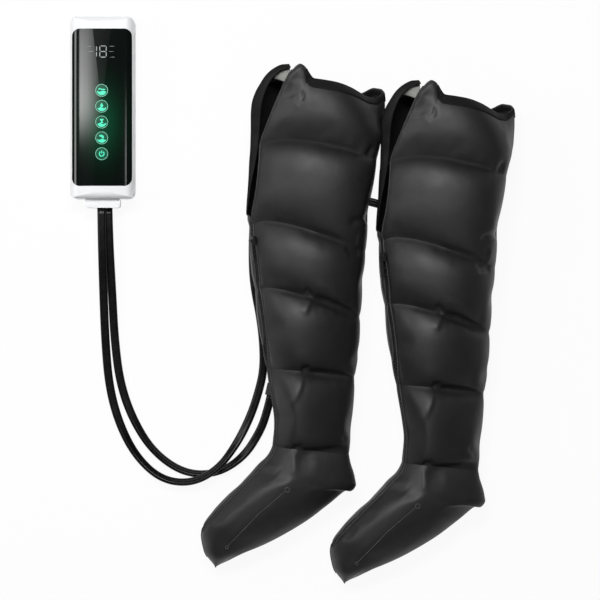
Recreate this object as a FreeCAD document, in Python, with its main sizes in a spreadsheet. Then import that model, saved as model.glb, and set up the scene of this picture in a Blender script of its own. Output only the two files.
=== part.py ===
import FreeCAD, Part
import math
import os
import re
from types import SimpleNamespace

import Sketcher
from FreeCAD import Matrix, Placement, Rotation, Vector

# Pair of air compression boots lying flat with their pump controller and two hoses.
# +X is to the right and +Y towards the boots' leg openings as they lie, +Z is up from the floor.
# All lengths are in millimetres and all angles in degrees.
SIZES = [
    # pump controller: its place and its case
    ("case_x", -339.3), ("case_y", 347.9),
    ("case_width", 116), ("case_length", 328), ("case_height", 62),
    ("foot_height", 2), ("foot_radius", 7), ("foot_side_inset", 18), ("foot_end_inset", 24),
    ("split_height", 26), ("case_wall", 2.5), ("plan_corner", 13), ("base_radius", 8),
    ("shoulder_rise", 19), ("shoulder_radius", 16), ("end_rise", 12.5), ("end_radius", 12),
    # black window of the controller and the keys in it
    ("lens_side_margin", 4), ("lens_end_margin", 22.5), ("lens_corner", 14),
    ("lens_thickness", 2.4), ("lens_ledge", 2), ("lens_gap", 0.2),
    ("key_radius", 11.4), ("key_gap", 0.2), ("key_pitch", 28.5), ("key_first_y", 30.2),
    ("key_flange", 1.2), ("key_flange_lip", 1.6), ("key_seat_gap", 0.5), ("key_stem_radius", 4),
    ("key_travel", 0.7), ("running_gap", 0.3),
    # board behind the window
    ("board_side_margin", 16), ("board_end_margin", 39), ("board_thickness", 1.6), ("board_drop", 9.6),
    ("board_y", 5), ("post_radius", 4), ("post_side_inset", 6), ("post_end_inset", 20),
    ("board_screw_radius", 1.25), ("board_screw_head", 2.5), ("board_screw_length", 6),
    ("switch_side", 6), ("switch_height", 3.6), ("plunger_radius", 1.7), ("plunger_height", 1.2),
    ("display_width", 44), ("display_length", 30), ("display_from_end", 63.8), ("display_gap", 1),
    # screws that close the case
    ("screw_side_inset", 9.5), ("screw_end_inset", 23), ("boss_radius", 4.5), ("screw_radius", 1.5),
    ("screw_head_radius", 2.8), ("screw_head", 2.5), ("screw_sink", 1), ("screw_length", 29),
    ("screw_gap", 0.2),
    # battery
    ("cell_radius", 9.2), ("cell_length", 65), ("cell_gap", 0.4), ("battery_from_end", 88),
    ("tray_wall", 1.4), ("tray_height", 9),
    # air pump
    ("motor_clearance", 3.7), ("pump_width", 44), ("pump_length", 40), ("pump_height", 30),
    ("cradle_height", 6), ("cradle_rim", 3), ("motor_radius", 14), ("motor_length", 42),
    ("crank_room_radius", 12), ("crank_room", 20), ("crank_radius", 8), ("crank_throw", 2),
    ("crank_width", 6), ("shaft_radius", 1.6), ("shaft_seat", 12), ("shaft_gap", 0.15),
    # valves, inner tubes and sockets
    ("manifold_from_end", 46), ("manifold_width", 76), ("manifold_length", 22), ("manifold_height", 24),
    ("valve_radius", 7), ("valve_height", 17), ("valve_pitch", 18),
    ("tube_radius", 3.5), ("tube_bore", 2.2), ("tube_height", 20),
    ("socket_width", 58), ("socket_depth", 24), ("socket_height", 28), ("socket_gap", 0.2),
    ("socket_bore", 3.7), ("socket_bore_depth", 20),
    ("charge_width", 12), ("charge_depth", 9), ("charge_height", 7), ("charge_level", 14),
    # plug block on the hoses
    ("plug_width", 63), ("plug_length", 16), ("plug_height", 32), ("plug_level", 27),
    ("plug_corner", 4), ("plug_gap", 0.3),
    ("nozzle_radius", 3.2), ("nozzle_bore", 1.8), ("nozzle_length", 18), ("nozzle_pitch", 14),
    ("seal_ring_radius", 2.9), ("seal_radius", 0.7), ("seal_inset", 5),
    # hoses
    ("hose_width", 15.5), ("hose_thickness", 9), ("hose_bed_gap", 1.5),
    ("inlet_length", 22), ("inlet_width", 22), ("inlet_height", 13), ("inlet_lift", 0.3),
    # boots: the first one's place, the step to the second one, and the overall size of one
    ("boot_x", -166.1), ("boot_y", -483.3), ("pair_gap", 7.68), ("pair_step_y", -29),
    ("boot_width", 342), ("boot_length", 909), ("boot_depth", 138),
    ("chamber_wall", 26), ("weld_lift", 13), ("weld_drop", 13), ("weld_inset", 3), ("floor_cut", 0.5),
    ("toe_lift", 6), ("cuff_length", 14), ("cuff_wall", 7),
    ("collar_tip_width", 50), ("collar_tip_length", 30), ("collar_tip_thickness", 6),
    # zip along the front edge of each boot
    ("zip_tilt", 35), ("zip_seat", 3.5), ("trim_half_width", 30), ("trim_height", 20),
    ("slit_half_width", 6), ("slit_depth", 40),
    ("tape_width", 12), ("tape_thickness", 1), ("tape_overhang", 3),
    ("tooth_width", 2.2), ("tooth_height", 1.8), ("tooth_depth", 0.8),
    ("hem_width", 16), ("hem_thickness", 4), ("hem_run", 34), ("hem_loop_radius", 150),
    ("hem_loop_sweep", 50), ("hem_tip_radius", 20), ("hem_tip_sweep", 60),
    # zip slider and its pull
    ("slider_drop", 16), ("slider_length", 16), ("slider_width", 11), ("slider_plate", 1.4),
    ("slider_blade", 1), ("slider_blade_length", 6), ("slider_inner_width", 8), ("slider_lip", 1),
    ("lug_width", 1.4), ("lug_length", 5), ("pin_radius", 0.8), ("pin_height", 2.4),
    ("pull_eye_radius", 1.8), ("pull_eye_width", 3), ("pull_eye_gap", 0.25),
    ("pull_length", 32), ("pull_width", 8), ("pull_thickness", 1.6),
    # how far a cutting shape runs past what it cuts
    ("overrun", 5),
]

# Height of the widest point of a boot section, as a share of the section's height, and the round
# of its upper corners, as a share of what is above that point.
LOW_ROUND_SHARE = 0.42
HIGH_ROUND_SHARE = 0.75
# How far the second boot stands to the right of the first one, before the gap between them, as a share
# of boot_width.
PAIR_STEP_SHARE = 0.66
# Where a chamber is fullest between its two welds, as shares of its length.
FULL_SHARES = (0.3, 0.7)
# Stations across a boot, from the leg opening to the toe: the front edge and the back edge as shares
# of boot_width and boot_length, and the thickness as a share of boot_depth.
STATION_SHARES = {
    "rim": (0.300, 0.952, 0.958, 0.939, 0.87),
    "weld_1": (0.258, 0.836, 0.929, 0.810, 1.00),
    "weld_2": (0.245, 0.679, 0.871, 0.628, 0.957),
    "weld_3": (0.285, 0.554, 0.845, 0.499, 0.913),
    "weld_4": (0.337, 0.397, 0.817, 0.380, 0.826),
    "shin": (0.376, 0.315, 0.805, 0.303, 0.79),
    "ankle": (0.366, 0.244, 0.789, 0.226, 0.754),
    "heel": (0.330, 0.226, 0.818, 0.184, 0.740),
    "foot_1": (0.289, 0.205, 0.800, 0.152, 0.725),
    "foot_2": (0.211, 0.172, 0.674, 0.126, 0.696),
    "foot_3": (0.135, 0.143, 0.558, 0.094, 0.652),
    "foot_4": (0.066, 0.114, 0.442, 0.067, 0.594),
    "foot_5": (0.011, 0.085, 0.326, 0.044, 0.522),
    "foot_6": (0.000, 0.061, 0.174, 0.018, 0.42),
    "toe": (0.016, 0.032, 0.071, 0.000, 0.232),
}
LEG_CHAMBERS = [
    ("rim", "weld_1"),
    ("weld_1", "weld_2"),
    ("weld_2", "weld_3"),
    ("weld_3", "weld_4"),
    ("weld_4", "shin", "ankle"),
]
FOOT_STATIONS = ["ankle", "heel", "foot_1", "foot_2", "foot_3", "foot_4", "foot_5", "foot_6", "toe"]
# The zip runs dead straight from weld_2 to weld_4, where its slider travels.
ZIP_STATIONS = [
    "rim", "weld_1", "weld_2", "weld_4", "shin", "ankle", "heel",
    "foot_1", "foot_2", "foot_3", "foot_4", "foot_5",
]
ZIP_STRAIGHT = ("weld_2", "weld_4")
# The zip stands open above weld_2: the slit's half width there as a share of slit_half_width.
SLIT_OPEN_SHARES = {"rim": 2.3, "weld_1": 1.8}
# Station above which the far panel's hem stands free, and how far it has turned up at its end.
HEM_FREE_FROM = "weld_1"
HEM_END_TILT = 85
HEM_LOOP_STEPS = 6
HEM_TIP_STEPS = 4
# Where the collar's tip stands on the leg opening, as a share of the opening's width, and its height,
# as a share of the opening's thickness.
COLLAR_TIP_SHARE = 0.3
COLLAR_TIP_LEVEL_SHARE = 0.79

# Hose routes, from the plug to the boots' air inlets, chosen along the floor.
LEFT_HOSE_ROUTE = [
    (-330.3, 167.6, 21.5), (-328.9, 108.9, 20.5), (-324.2, 18.9, 12), (-319.9, -71.1, 5.5),
    (-310.1, -150.3, 4.8), (-286.7, -216.9, 4.8), (-248.9, -276.3, 4.8), (-193.1, -315, 4.8),
    (-133.7, -315.9, 4.8), (-85.1, -285.3, 4.8), (-54.5, -237.6, 4.8), (-41.9, -200.7, 4.8),
    (-35.6, -173.1, 4.8),
]
RIGHT_HOSE_ROUTE = [
    (-341.8, 167.6, 32), (-341.1, 108.9, 31), (-339.3, 18.9, 20), (-336.8, -71.1, 7.5),
    (-329.9, -157.5, 4.8), (-311, -226, 4.8), (-280, -285, 4.8), (-234, -326, 8.5),
    (-179, -332, 14.8), (-131, -306, 15.2), (-97, -260, 6.5), (-73.4, -213, 4.8), (-58.1, -168, 4.8),
    (-48.2, -125.1, 4.8), (-49.1, -74.7, 4.8), (-55.4, -26, 4.8), (-63.5, 14, 4.8), (-67.5, 47, 4.8),
    (-68.6, 80, 4.8), (-68.2, 112, 4.8), (-66.3, 144, 4.8), (-53.6, 175.1, 4.8), (-28.7, 196.8, 4.8),
    (2.9, 206.2, 4.8), (42.5, 202.2, 4.8), (85.8, 194, 4.8), (128.8, 184, 4.8), (163.7, 174.7, 4.8),
]
HOSE_BED_FIRST_POINT = 16
ARC_SHARE = 0.45

KEY_NAMES = ["key_mode", "key_pressure", "key_time", "key_zone", "key_power"]

doc = FreeCAD.newDocument("compression_boots")
sheet = doc.addObject("Spreadsheet::Sheet", "Sizes")
for row, (alias, number) in enumerate(SIZES, 1):
    sheet.set(f"A{row}", alias)
    sheet.set(f"B{row}", str(number))
    sheet.setAlias(f"B{row}", alias)
doc.recompute()
size = SimpleNamespace(**{alias: float(getattr(sheet, alias)) for alias, number in SIZES})
nodes = []
UP = Vector(0, 0, 1)
LENGTHWAYS = Vector(0, 1, 0)


# Document objects whose sizes and places are bound to the sheet

def formula(text):
    """An expression in which each alias is looked up in the sheet."""
    def look_up(word):
        return "Sizes." + word.group(0) if hasattr(size, word.group(0)) else word.group(0)
    return re.sub(r"[a-z][a-z0-9_]*", look_up, text)


def bind(item, **texts):
    for name, text in texts.items():
        item.setExpression(name, formula(text))
    return item


def place(item, x, y, z):
    for axis, text in (("x", x), ("y", y), ("z", z)):
        item.setExpression(f".Placement.Base.{axis}", formula(text))
    return item


def block(name, width, length, height, x, y, z):
    """A box centred on x and y that stands on z."""
    item = bind(doc.addObject("Part::Box", name), Length=width, Width=length, Height=height)
    return place(item, f"{x} - ({width}) / 2", f"{y} - ({length}) / 2", z)


def rod(name, radius, height, x, y, z, along=UP):
    """A cylinder that starts at x, y, z and runs along an axis."""
    item = bind(doc.addObject("Part::Cylinder", name), Radius=radius, Height=height)
    item.Placement = Placement(Vector(), Rotation(UP, along))
    return place(item, x, y, z)


def joined(name, items):
    item = doc.addObject("Part::MultiFuse", name)
    item.Shapes = list(items)
    return item


def less(name, base, tools):
    item = doc.addObject("Part::Cut", name)
    item.Base = base
    item.Tool = tools[0] if len(tools) == 1 else joined(name + "_tools", tools)
    return item


def shared(name, items):
    item = doc.addObject("Part::MultiCommon", name)
    item.Shapes = list(items)
    return item


def group(name, items):
    item = doc.addObject("Part::Compound", name)
    item.Links = list(items)
    return item


def feature(name, shape, at=Vector()):
    item = doc.addObject("Part::Feature", name)
    item.Shape = shape
    item.Placement = Placement(at, Rotation())
    return item


def is_upright(edge):
    return abs(edge.tangentAt(edge.FirstParameter).z) > 0.99


def padded(name, width, length, height, x, y, z, corner):
    """A body padded up from a centred rectangle, with round upright edges."""
    body = doc.addObject("PartDesign::Body", name)
    sketch = body.newObject("Sketcher::SketchObject", name + "_outline")
    floor = next(plane for plane in body.Origin.OriginFeatures if plane.Role == "XY_Plane")
    sketch.AttachmentSupport = [(floor, "")]
    sketch.MapMode = "FlatFace"
    ends = [Vector(-1, -1, 0), Vector(1, -1, 0), Vector(1, 1, 0), Vector(-1, 1, 0)]
    for index, end in enumerate(ends):
        sketch.addGeometry(Part.LineSegment(end, ends[(index + 1) % 4]))
    for index in range(4):
        sketch.addConstraint(Sketcher.Constraint("Coincident", index, 2, (index + 1) % 4, 1))
        sketch.addConstraint(Sketcher.Constraint("Vertical" if index % 2 else "Horizontal", index))
    sketch.addConstraint(Sketcher.Constraint("Symmetric", 0, 1, 2, 1, -1, 1))
    for kind, line, name_of_size, text in (
        ("DistanceX", 0, "outline_width", width), ("DistanceY", 1, "outline_length", length),
    ):
        sketch.addConstraint(Sketcher.Constraint(kind, line, 1, line, 2, 2))
        sketch.renameConstraint(sketch.ConstraintCount - 1, name_of_size)
        sketch.setExpression("Constraints." + name_of_size, formula(text))
    pad = bind(body.newObject("PartDesign::Pad", name + "_pad"), Length=height)
    pad.Profile = sketch
    doc.recompute()
    fillet = bind(body.newObject("PartDesign::Fillet", name + "_corners"), Radius=corner)
    edges = enumerate(pad.Shape.Edges, 1)
    fillet.Base = (pad, [f"Edge{index}" for index, edge in edges if is_upright(edge)])
    return place(body, x, y, z)


def node(item, label):
    item.Label = label
    nodes.append(item)
    return item


# Forms that the case and the boots are made from

def pillow(half, bottom, low, side, top, corner, to_space):
    """A closed section: flat base, round lower corners, upright sides and a three-centre arch."""
    spring = bottom + low + side
    rise = top - spring
    crown = (half ** 2 - 2 * half * corner + rise ** 2) / (2 * (rise - corner))
    lean = math.atan2(spring - top + crown, half - corner)
    flat, slant = -math.pi / 2, -math.pi / 4

    def low_at(flip, angle):
        reach = half - low + low * math.cos(angle)
        return to_space(flip * reach, bottom + low + low * math.sin(angle))

    def high_at(flip, angle):
        reach = half - corner + corner * math.cos(angle)
        return to_space(flip * reach, spring + corner * math.sin(angle))

    edges = [
        Part.LineSegment(low_at(-1, flat), low_at(1, flat)),
        Part.Arc(low_at(1, flat), low_at(1, slant), low_at(1, 0)),
        Part.Arc(high_at(1, 0), high_at(1, lean / 2), high_at(1, lean)),
        Part.Arc(high_at(1, lean), to_space(0, top), high_at(-1, lean)),
        Part.Arc(high_at(-1, lean), high_at(-1, lean / 2), high_at(-1, 0)),
        Part.Arc(low_at(-1, 0), low_at(-1, slant), low_at(-1, flat)),
    ]
    if side > 0:
        edges.insert(2, Part.LineSegment(low_at(1, 0), high_at(1, 0)))
        edges.insert(6, Part.LineSegment(high_at(-1, 0), low_at(-1, 0)))
    return Part.Wire([edge.toShape() for edge in edges])


def round_box(width, length, height, corner, middle):
    """A box with round upright edges, centred on a point of its base."""
    box = Part.makeBox(width, length, height, middle - Vector(width / 2, length / 2, 0))
    return box.makeFillet(corner, [edge for edge in box.Edges if is_upright(edge)])


# Case of the controller

def case_blank(inset):
    """The case's outer form, drawn in on every side."""
    bottom = size.foot_height + inset
    low = size.base_radius - inset
    centre = Vector(size.case_x, size.case_y, 0)

    def profile(half, rise, corner, direction, sweep):
        def to_space(u, z):
            return centre - sweep / 2 + direction * u + UP * z
        side = size.case_height - rise - bottom - low
        top = size.case_height - inset
        wire = pillow(half - inset, bottom, low, side, top, corner - inset, to_space)
        return Part.Face(wire).extrude(sweep)

    sideways = Vector(1, 0, 0)
    across = profile(size.case_width / 2, size.shoulder_rise, size.shoulder_radius,
                     sideways, LENGTHWAYS * 2 * size.case_length)
    along = profile(size.case_length / 2, size.end_rise, size.end_radius,
                    LENGTHWAYS, sideways * 2 * size.case_width)
    plan = round_box(size.case_width - 2 * inset, size.case_length - 2 * inset, 2 * size.case_height,
                     size.plan_corner - inset, centre)
    return across.common(along).common(plan)


def window_prism(gap):
    middle = Vector(size.case_x, size.case_y, size.split_height)
    width = size.case_width - 2 * size.lens_side_margin
    length = size.case_length - 2 * size.lens_end_margin
    return round_box(width + 2 * gap, length + 2 * gap, size.case_height, size.lens_corner + gap, middle)


outer = feature("case_outer", case_blank(0))
under_window = feature("under_window", case_blank(size.lens_thickness))
front_room = feature("front_room", case_blank(size.lens_thickness + size.lens_ledge))
rear_room = feature("rear_room", case_blank(size.case_wall))

BOARD_TOP = "(case_height - lens_thickness - lens_ledge - board_drop)"
BOARD_BASE = "(case_height - lens_thickness - lens_ledge - board_drop - board_thickness)"
FLOOR = "(foot_height + case_wall)"
CASE_FOOT_END = "(case_y - case_length / 2)"
CASE_HEAD_END = "(case_y + case_length / 2)"
BOARD_WIDTH = "(case_width - 2 * board_side_margin)"
BOARD_LENGTH = "(case_length - 2 * board_end_margin)"
DISPLAY_Y = f"({CASE_HEAD_END} - display_from_end)"
BATTERY_Y = f"({CASE_HEAD_END} - battery_from_end)"
MANIFOLD_Y = f"({CASE_FOOT_END} + manifold_from_end)"
# The pump stands between the manifold and the battery tray, with this share of the spare room before it.
PUMP_FRONT_SHARE = 0.4
TRAY_LENGTH = "(cell_length + 2 * tray_wall + 2 * cell_gap)"
MANIFOLD_BACK = f"({MANIFOLD_Y} + manifold_length / 2)"
SPARE_ROOM = (f"({BATTERY_Y} - {TRAY_LENGTH} / 2 - {MANIFOLD_BACK}"
              " - pump_length - motor_length - cradle_rim - motor_clearance)")
PUMP_Y = f"({MANIFOLD_BACK} + cradle_rim + {PUMP_FRONT_SHARE} * {SPARE_ROOM} + pump_length / 2)"
KEY_YS = [f"(case_y + key_first_y - {index} * key_pitch)" for index in range(len(KEY_NAMES))]
SCREW_PLACES = [
    (f"(case_x + {side} * (case_width / 2 - screw_side_inset))",
     f"(case_y + {end} * (case_length / 2 - screw_end_inset))")
    for side in (-1, 1) for end in (-1, 0, 1)
]
POST_PLACES = [
    (f"(case_x + {side} * ({BOARD_WIDTH} / 2 - post_side_inset))",
     f"(case_y + board_y + {end} * ({BOARD_LENGTH} / 2 - post_end_inset))")
    for side in (-1, 1) for end in (-1, 1)
]
FOUR_STEPS = (-1.5, -0.5, 0.5, 1.5)


def socket_hole(name):
    gap = "2 * socket_gap"
    depth = f"2 * (case_wall + lens_thickness + lens_ledge + {gap})"
    return block(name, f"socket_width + {gap}", depth, f"socket_height + {gap}",
                 "case_x", CASE_FOOT_END, "plug_level - socket_height / 2 - socket_gap")


def make_rear_shell():
    half = block("rear_half", "2 * case_width", "2 * case_length", "split_height", "case_x", "case_y", "0")
    bosses = [rod("rear_boss", "boss_radius", "split_height", x, y, "0") for x, y in SCREW_PLACES]
    room = less("rear_cavity", rear_room, bosses)
    bores = [
        rod("rear_bore", "screw_radius + screw_gap", "split_height + overrun", x, y, "0")
        for x, y in SCREW_PLACES
    ]
    sinks = [
        rod("rear_sink", "screw_head_radius + screw_gap", "foot_height + screw_sink + screw_head", x, y, "0")
        for x, y in SCREW_PLACES
    ]
    charge_hole = block("charge_hole", "charge_width + 2 * socket_gap", "2 * (case_wall + overrun)",
                        "charge_height + 2 * socket_gap", "case_x", CASE_HEAD_END,
                        "charge_level - charge_height / 2 - socket_gap")
    hollow_half = less("rear_hollow", shared("rear_blank", [outer, half]), [room])
    tools = [socket_hole("rear_socket_hole"), charge_hole] + bores + sinks
    node(less("rear_shell", hollow_half, tools), "rear_shell")


def make_front_shell():
    half = block("front_half", "2 * case_width", "2 * case_length", "case_height",
                 "case_x", "case_y", "split_height")
    bosses = [rod("front_boss", "boss_radius", "case_height", x, y, "split_height") for x, y in SCREW_PLACES]
    posts = [rod("board_post", "post_radius", "case_height", x, y, BOARD_TOP) for x, y in POST_PLACES]
    room = less("front_cavity", front_room, bosses + posts)
    prism = feature("window_recess_prism", window_prism(size.lens_gap))
    recess = less("window_recess", prism, [under_window])
    screw_top = "foot_height + screw_sink + screw_head + screw_length"
    bores = [
        rod("front_bore", "screw_radius + screw_gap", screw_top, x, y, "screw_gap") for x, y in SCREW_PLACES
    ]
    pilots = [
        rod("board_pilot", "board_screw_radius", "board_screw_length - board_thickness", x, y, BOARD_TOP)
        for x, y in POST_PLACES
    ]
    key_holes = [
        rod("shell_key_hole", "key_radius + key_gap", "case_height", "case_x", y, "split_height")
        for y in KEY_YS
    ]
    window = block("display_window", "display_width + 2 * display_gap", "display_length + 2 * display_gap",
                   "case_height", "case_x", DISPLAY_Y, "split_height")
    hollow_half = less("front_hollow", shared("front_blank", [outer, half]), [room])
    tools = [window, socket_hole("front_socket_hole")] + bores + pilots + key_holes
    node(less("front_shell", less("front_recessed", hollow_half, [recess]), tools), "front_shell")


def make_lens():
    blank = shared("lens_blank", [outer, feature("lens_prism", window_prism(0))])
    holes = [
        rod("lens_key_hole", "key_radius + key_gap", "case_height", "case_x", y, "split_height")
        for y in KEY_YS
    ]
    node(less("front_lens", blank, [under_window] + holes), "front_lens")


def make_keys():
    flange_top = "(case_height - lens_thickness - lens_ledge - key_seat_gap)"
    stem_foot = f"({BOARD_TOP} + switch_height + plunger_height + key_travel + running_gap)"
    for name, y in zip(KEY_NAMES, KEY_YS):
        cap = rod(name + "_cap", "key_radius", "lens_thickness + lens_ledge + key_seat_gap + overrun",
                  "case_x", y, flange_top)
        flange = rod(name + "_flange", "key_radius + key_flange_lip", "key_flange", "case_x", y,
                     f"{flange_top} - key_flange")
        stem = rod(name + "_stem", "key_stem_radius", f"{flange_top} - key_flange - {stem_foot}",
                   "case_x", y, stem_foot)
        node(joined(name, [shared(name + "_top", [cap, outer]), flange, stem]), name)


def make_board():
    board = padded("board_blank", BOARD_WIDTH, BOARD_LENGTH, "board_thickness", "case_x",
                   "case_y + board_y", BOARD_BASE, "post_radius")
    holes = [
        rod("board_hole", "board_screw_radius", "board_thickness + 2 * overrun", x, y,
            f"{BOARD_BASE} - overrun") for x, y in POST_PLACES
    ]
    node(less("control_board", board, holes), "control_board")
    screws = []
    for x, y in POST_PLACES:
        shank = rod("board_shank", "board_screw_radius", "board_screw_length", x, y, BOARD_BASE)
        head = rod("board_head", "board_screw_head", "board_screw_radius", x, y,
                   f"{BOARD_BASE} - board_screw_radius")
        screws.append(joined("board_screw", [shank, head]))
    node(group("board_screws", screws), "board_screws")
    switches = []
    for y in KEY_YS:
        base = block("switch_base", "switch_side", "switch_side", "switch_height", "case_x", y, BOARD_TOP)
        plunger = rod("switch_plunger", "plunger_radius", "plunger_height", "case_x", y,
                      f"{BOARD_TOP} + switch_height")
        switches.append(joined("tact_switch", [base, plunger]))
    node(group("tact_switches", switches), "tact_switches")
    display = block("display_stand", "display_width", "display_length", "case_height", "case_x",
                    DISPLAY_Y, BOARD_TOP)
    node(shared("display_module", [display, under_window]), "display_module")


def make_case_screws_and_feet():
    screws = []
    for x, y in SCREW_PLACES:
        head = rod("case_screw_head", "screw_head_radius", "screw_head", x, y, "foot_height + screw_sink")
        shank = rod("case_screw_shank", "screw_radius", "screw_length", x, y,
                    "foot_height + screw_sink + screw_head")
        screws.append(joined("case_screw", [head, shank]))
    node(group("housing_screws", screws), "housing_screws")
    feet = [
        rod("foot", "foot_radius", "foot_height",
            f"case_x + {side} * (case_width / 2 - foot_side_inset)",
            f"case_y + {end} * (case_length / 2 - foot_end_inset)", "0")
        for side in (-1, 1) for end in (-1, 1)
    ]
    node(group("rubber_feet", feet), "rubber_feet")


def make_battery():
    row = "(8 * cell_radius + 3 * cell_gap)"
    tray = padded("tray_blank", f"{row} + 2 * tray_wall + 2 * cell_gap",
                  TRAY_LENGTH, "tray_height",
                  "case_x", BATTERY_Y, FLOOR, "tray_wall")
    room = block("tray_room", f"{row} + 2 * cell_gap", "cell_length + 2 * cell_gap", "tray_height", "case_x",
                 BATTERY_Y, f"{FLOOR} + tray_wall")
    node(less("battery_tray", tray, [room]), "battery_tray")
    cells = [
        rod("cell", "cell_radius", "cell_length", f"case_x + {step} * (2 * cell_radius + cell_gap)",
            f"{BATTERY_Y} - cell_length / 2", f"{FLOOR} + tray_wall + cell_radius", LENGTHWAYS)
        for step in FOUR_STEPS
    ]
    node(group("battery_cells", cells), "battery_cells")


def make_pump():
    base = f"({FLOOR} + cradle_height)"
    axis = f"({base} + pump_height / 2)"
    face = f"({PUMP_Y} + pump_length / 2)"
    cradle = padded("pump_cradle", "pump_width + 2 * cradle_rim", "pump_length + 2 * cradle_rim",
                    "cradle_height", "case_x", PUMP_Y, FLOOR, "cradle_rim")
    node(cradle, "pump_cradle")
    head = block("pump_blank", "pump_width", "pump_length", "pump_height", "case_x", PUMP_Y, base)
    room = rod("crank_room", "crank_room_radius", "crank_room + overrun",
               "case_x", f"{face} - crank_room", axis, LENGTHWAYS)
    node(less("pump_head", head, [room]), "pump_head")
    can = rod("motor_can", "motor_radius", "motor_length", "case_x", face, axis, LENGTHWAYS)
    seat = rod("motor_seat", "shaft_radius + shaft_gap", "shaft_seat + overrun",
               "case_x", f"{face} - overrun", axis, LENGTHWAYS)
    node(less("pump_motor", can, [seat]), "pump_motor")
    middle = f"({face} - crank_room / 2)"
    shaft = rod("crank_shaft", "shaft_radius", "crank_room / 2 + shaft_seat - running_gap",
                "case_x", middle, axis, LENGTHWAYS)
    disc = rod("crank_disc", "crank_radius", "crank_width",
               "case_x + crank_throw", f"{middle} - crank_width / 2", axis, LENGTHWAYS)
    node(joined("pump_crank", [shaft, disc]), "pump_crank")


def make_valves():
    node(block("valve_manifold", "manifold_width", "manifold_length", "manifold_height", "case_x",
               MANIFOLD_Y, FLOOR), "valve_manifold")
    valves = [
        rod("valve", "valve_radius", "valve_height", f"case_x + {step} * valve_pitch", MANIFOLD_Y,
            f"{FLOOR} + manifold_height") for step in FOUR_STEPS
    ]
    node(group("solenoid_valves", valves), "solenoid_valves")
    socket_back = f"({CASE_FOOT_END} + socket_depth)"
    manifold_front = f"({MANIFOLD_Y} - manifold_length / 2)"
    pump_front = f"({PUMP_Y} - pump_length / 2)"
    runs = [
        (f"case_x + {step} * nozzle_pitch", socket_back, f"{manifold_front} - {socket_back}")
        for step in FOUR_STEPS
    ]
    runs.append(("case_x", MANIFOLD_BACK, f"{pump_front} - {MANIFOLD_BACK}"))
    tubes = []
    for x, y, length in runs:
        outside = rod("tube_outside", "tube_radius", length, x, y, "tube_height", LENGTHWAYS)
        inside = rod("tube_inside", "tube_bore", length, x, y, "tube_height", LENGTHWAYS)
        tubes.append(less("air_tube", outside, [inside]))
    node(group("air_tubes", tubes), "air_tubes")
    socket = block("socket_blank", "socket_width", "socket_depth", "socket_height", "case_x",
                   f"{CASE_FOOT_END} + socket_depth / 2", "plug_level - socket_height / 2")
    bores = [
        rod("socket_bore", "socket_bore", "socket_bore_depth + overrun", f"case_x + {step} * nozzle_pitch",
            f"{CASE_FOOT_END} - overrun", "plug_level", LENGTHWAYS) for step in FOUR_STEPS
    ]
    node(less("air_socket", socket, bores), "air_socket")
    node(block("charge_socket", "charge_width", "charge_depth", "charge_height", "case_x",
               f"{CASE_HEAD_END} - charge_depth / 2", "charge_level - charge_height / 2"), "charge_socket")


def make_plug():
    middle = f"({CASE_FOOT_END} - plug_gap - plug_length / 2)"
    plug_face = f"({CASE_FOOT_END} - plug_gap)"
    node(padded("hose_plug", "plug_width", "plug_length", "plug_height", "case_x", middle,
                "plug_level - plug_height / 2", "plug_corner"), "hose_plug")
    nozzles, seals = [], []
    for step in FOUR_STEPS:
        x = f"case_x + {step} * nozzle_pitch"
        tube = rod("nozzle_tube", "nozzle_radius", "nozzle_length", x, plug_face, "plug_level", LENGTHWAYS)
        bore = rod("nozzle_bore", "nozzle_bore", "nozzle_length + overrun", x, plug_face, "plug_level",
                   LENGTHWAYS)
        seal = bind(doc.addObject("Part::Torus", "seal"), Radius1="seal_ring_radius", Radius2="seal_radius")
        seal.Placement = Placement(Vector(), Rotation(UP, LENGTHWAYS))
        place(seal, x, f"{plug_face} + nozzle_length - seal_inset", "plug_level")
        nozzles.append(less("nozzle", tube, [bore, seal]))
        seals.append(seal)
    node(group("plug_nozzles", nozzles), "plug_nozzles")
    node(group("nozzle_seals", seals), "nozzle_seals")


# Hoses

def rounded_path(points):
    """A wire of straight runs joined by arcs as large as the runs allow, with the arcs' radii."""
    edges, radii = [], []
    start = points[0]
    for before, corner, after in zip(points, points[1:], points[2:]):
        back, ahead = before - corner, after - corner
        cut = ARC_SHARE * min(back.Length, ahead.Length)
        half_turn = (math.pi - back.getAngle(ahead)) / 2
        radii.append(cut / math.tan(half_turn))
        back.normalize()
        ahead.normalize()
        inward = (back + ahead).normalize()
        first, last = corner + back * cut, corner + ahead * cut
        middle = corner + inward * (radii[-1] / math.cos(half_turn) - radii[-1])
        edges.append(Part.LineSegment(start, first).toShape())
        edges.append(Part.Arc(first, middle, last).toShape())
        start = last
    edges.append(Part.LineSegment(start, points[-1]).toShape())
    return Part.Wire(edges), radii


def swept(path, profile):
    shell = Part.BRepOffsetAPI.MakePipeShell(path)
    shell.setBiNormalMode(UP)
    shell.add(profile)
    shell.build()
    shell.makeSolid()
    return shell.shape()


def start_plane(path):
    """The path's first point, and the sideways and upward directions square to its start."""
    first = path.OrderedEdges[0]
    ahead = first.tangentAt(first.FirstParameter)
    sideways = ahead.cross(UP).normalize()
    return first.valueAt(first.FirstParameter), sideways, sideways.cross(ahead)


def oval(path):
    """The hose's flat section, with round edges, at the start of its path."""
    at, sideways, upward = start_plane(path)
    half = size.hose_thickness / 2
    flat = size.hose_width / 2 - half

    def point(u, z):
        return at + sideways * u + upward * z
    return Part.Wire([edge.toShape() for edge in (
        Part.LineSegment(point(-flat, -half), point(flat, -half)),
        Part.Arc(point(flat, -half), point(flat + half, 0), point(flat, half)),
        Part.LineSegment(point(flat, half), point(-flat, half)),
        Part.Arc(point(-flat, half), point(-flat - half, 0), point(-flat, -half)),
    )])


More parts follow.
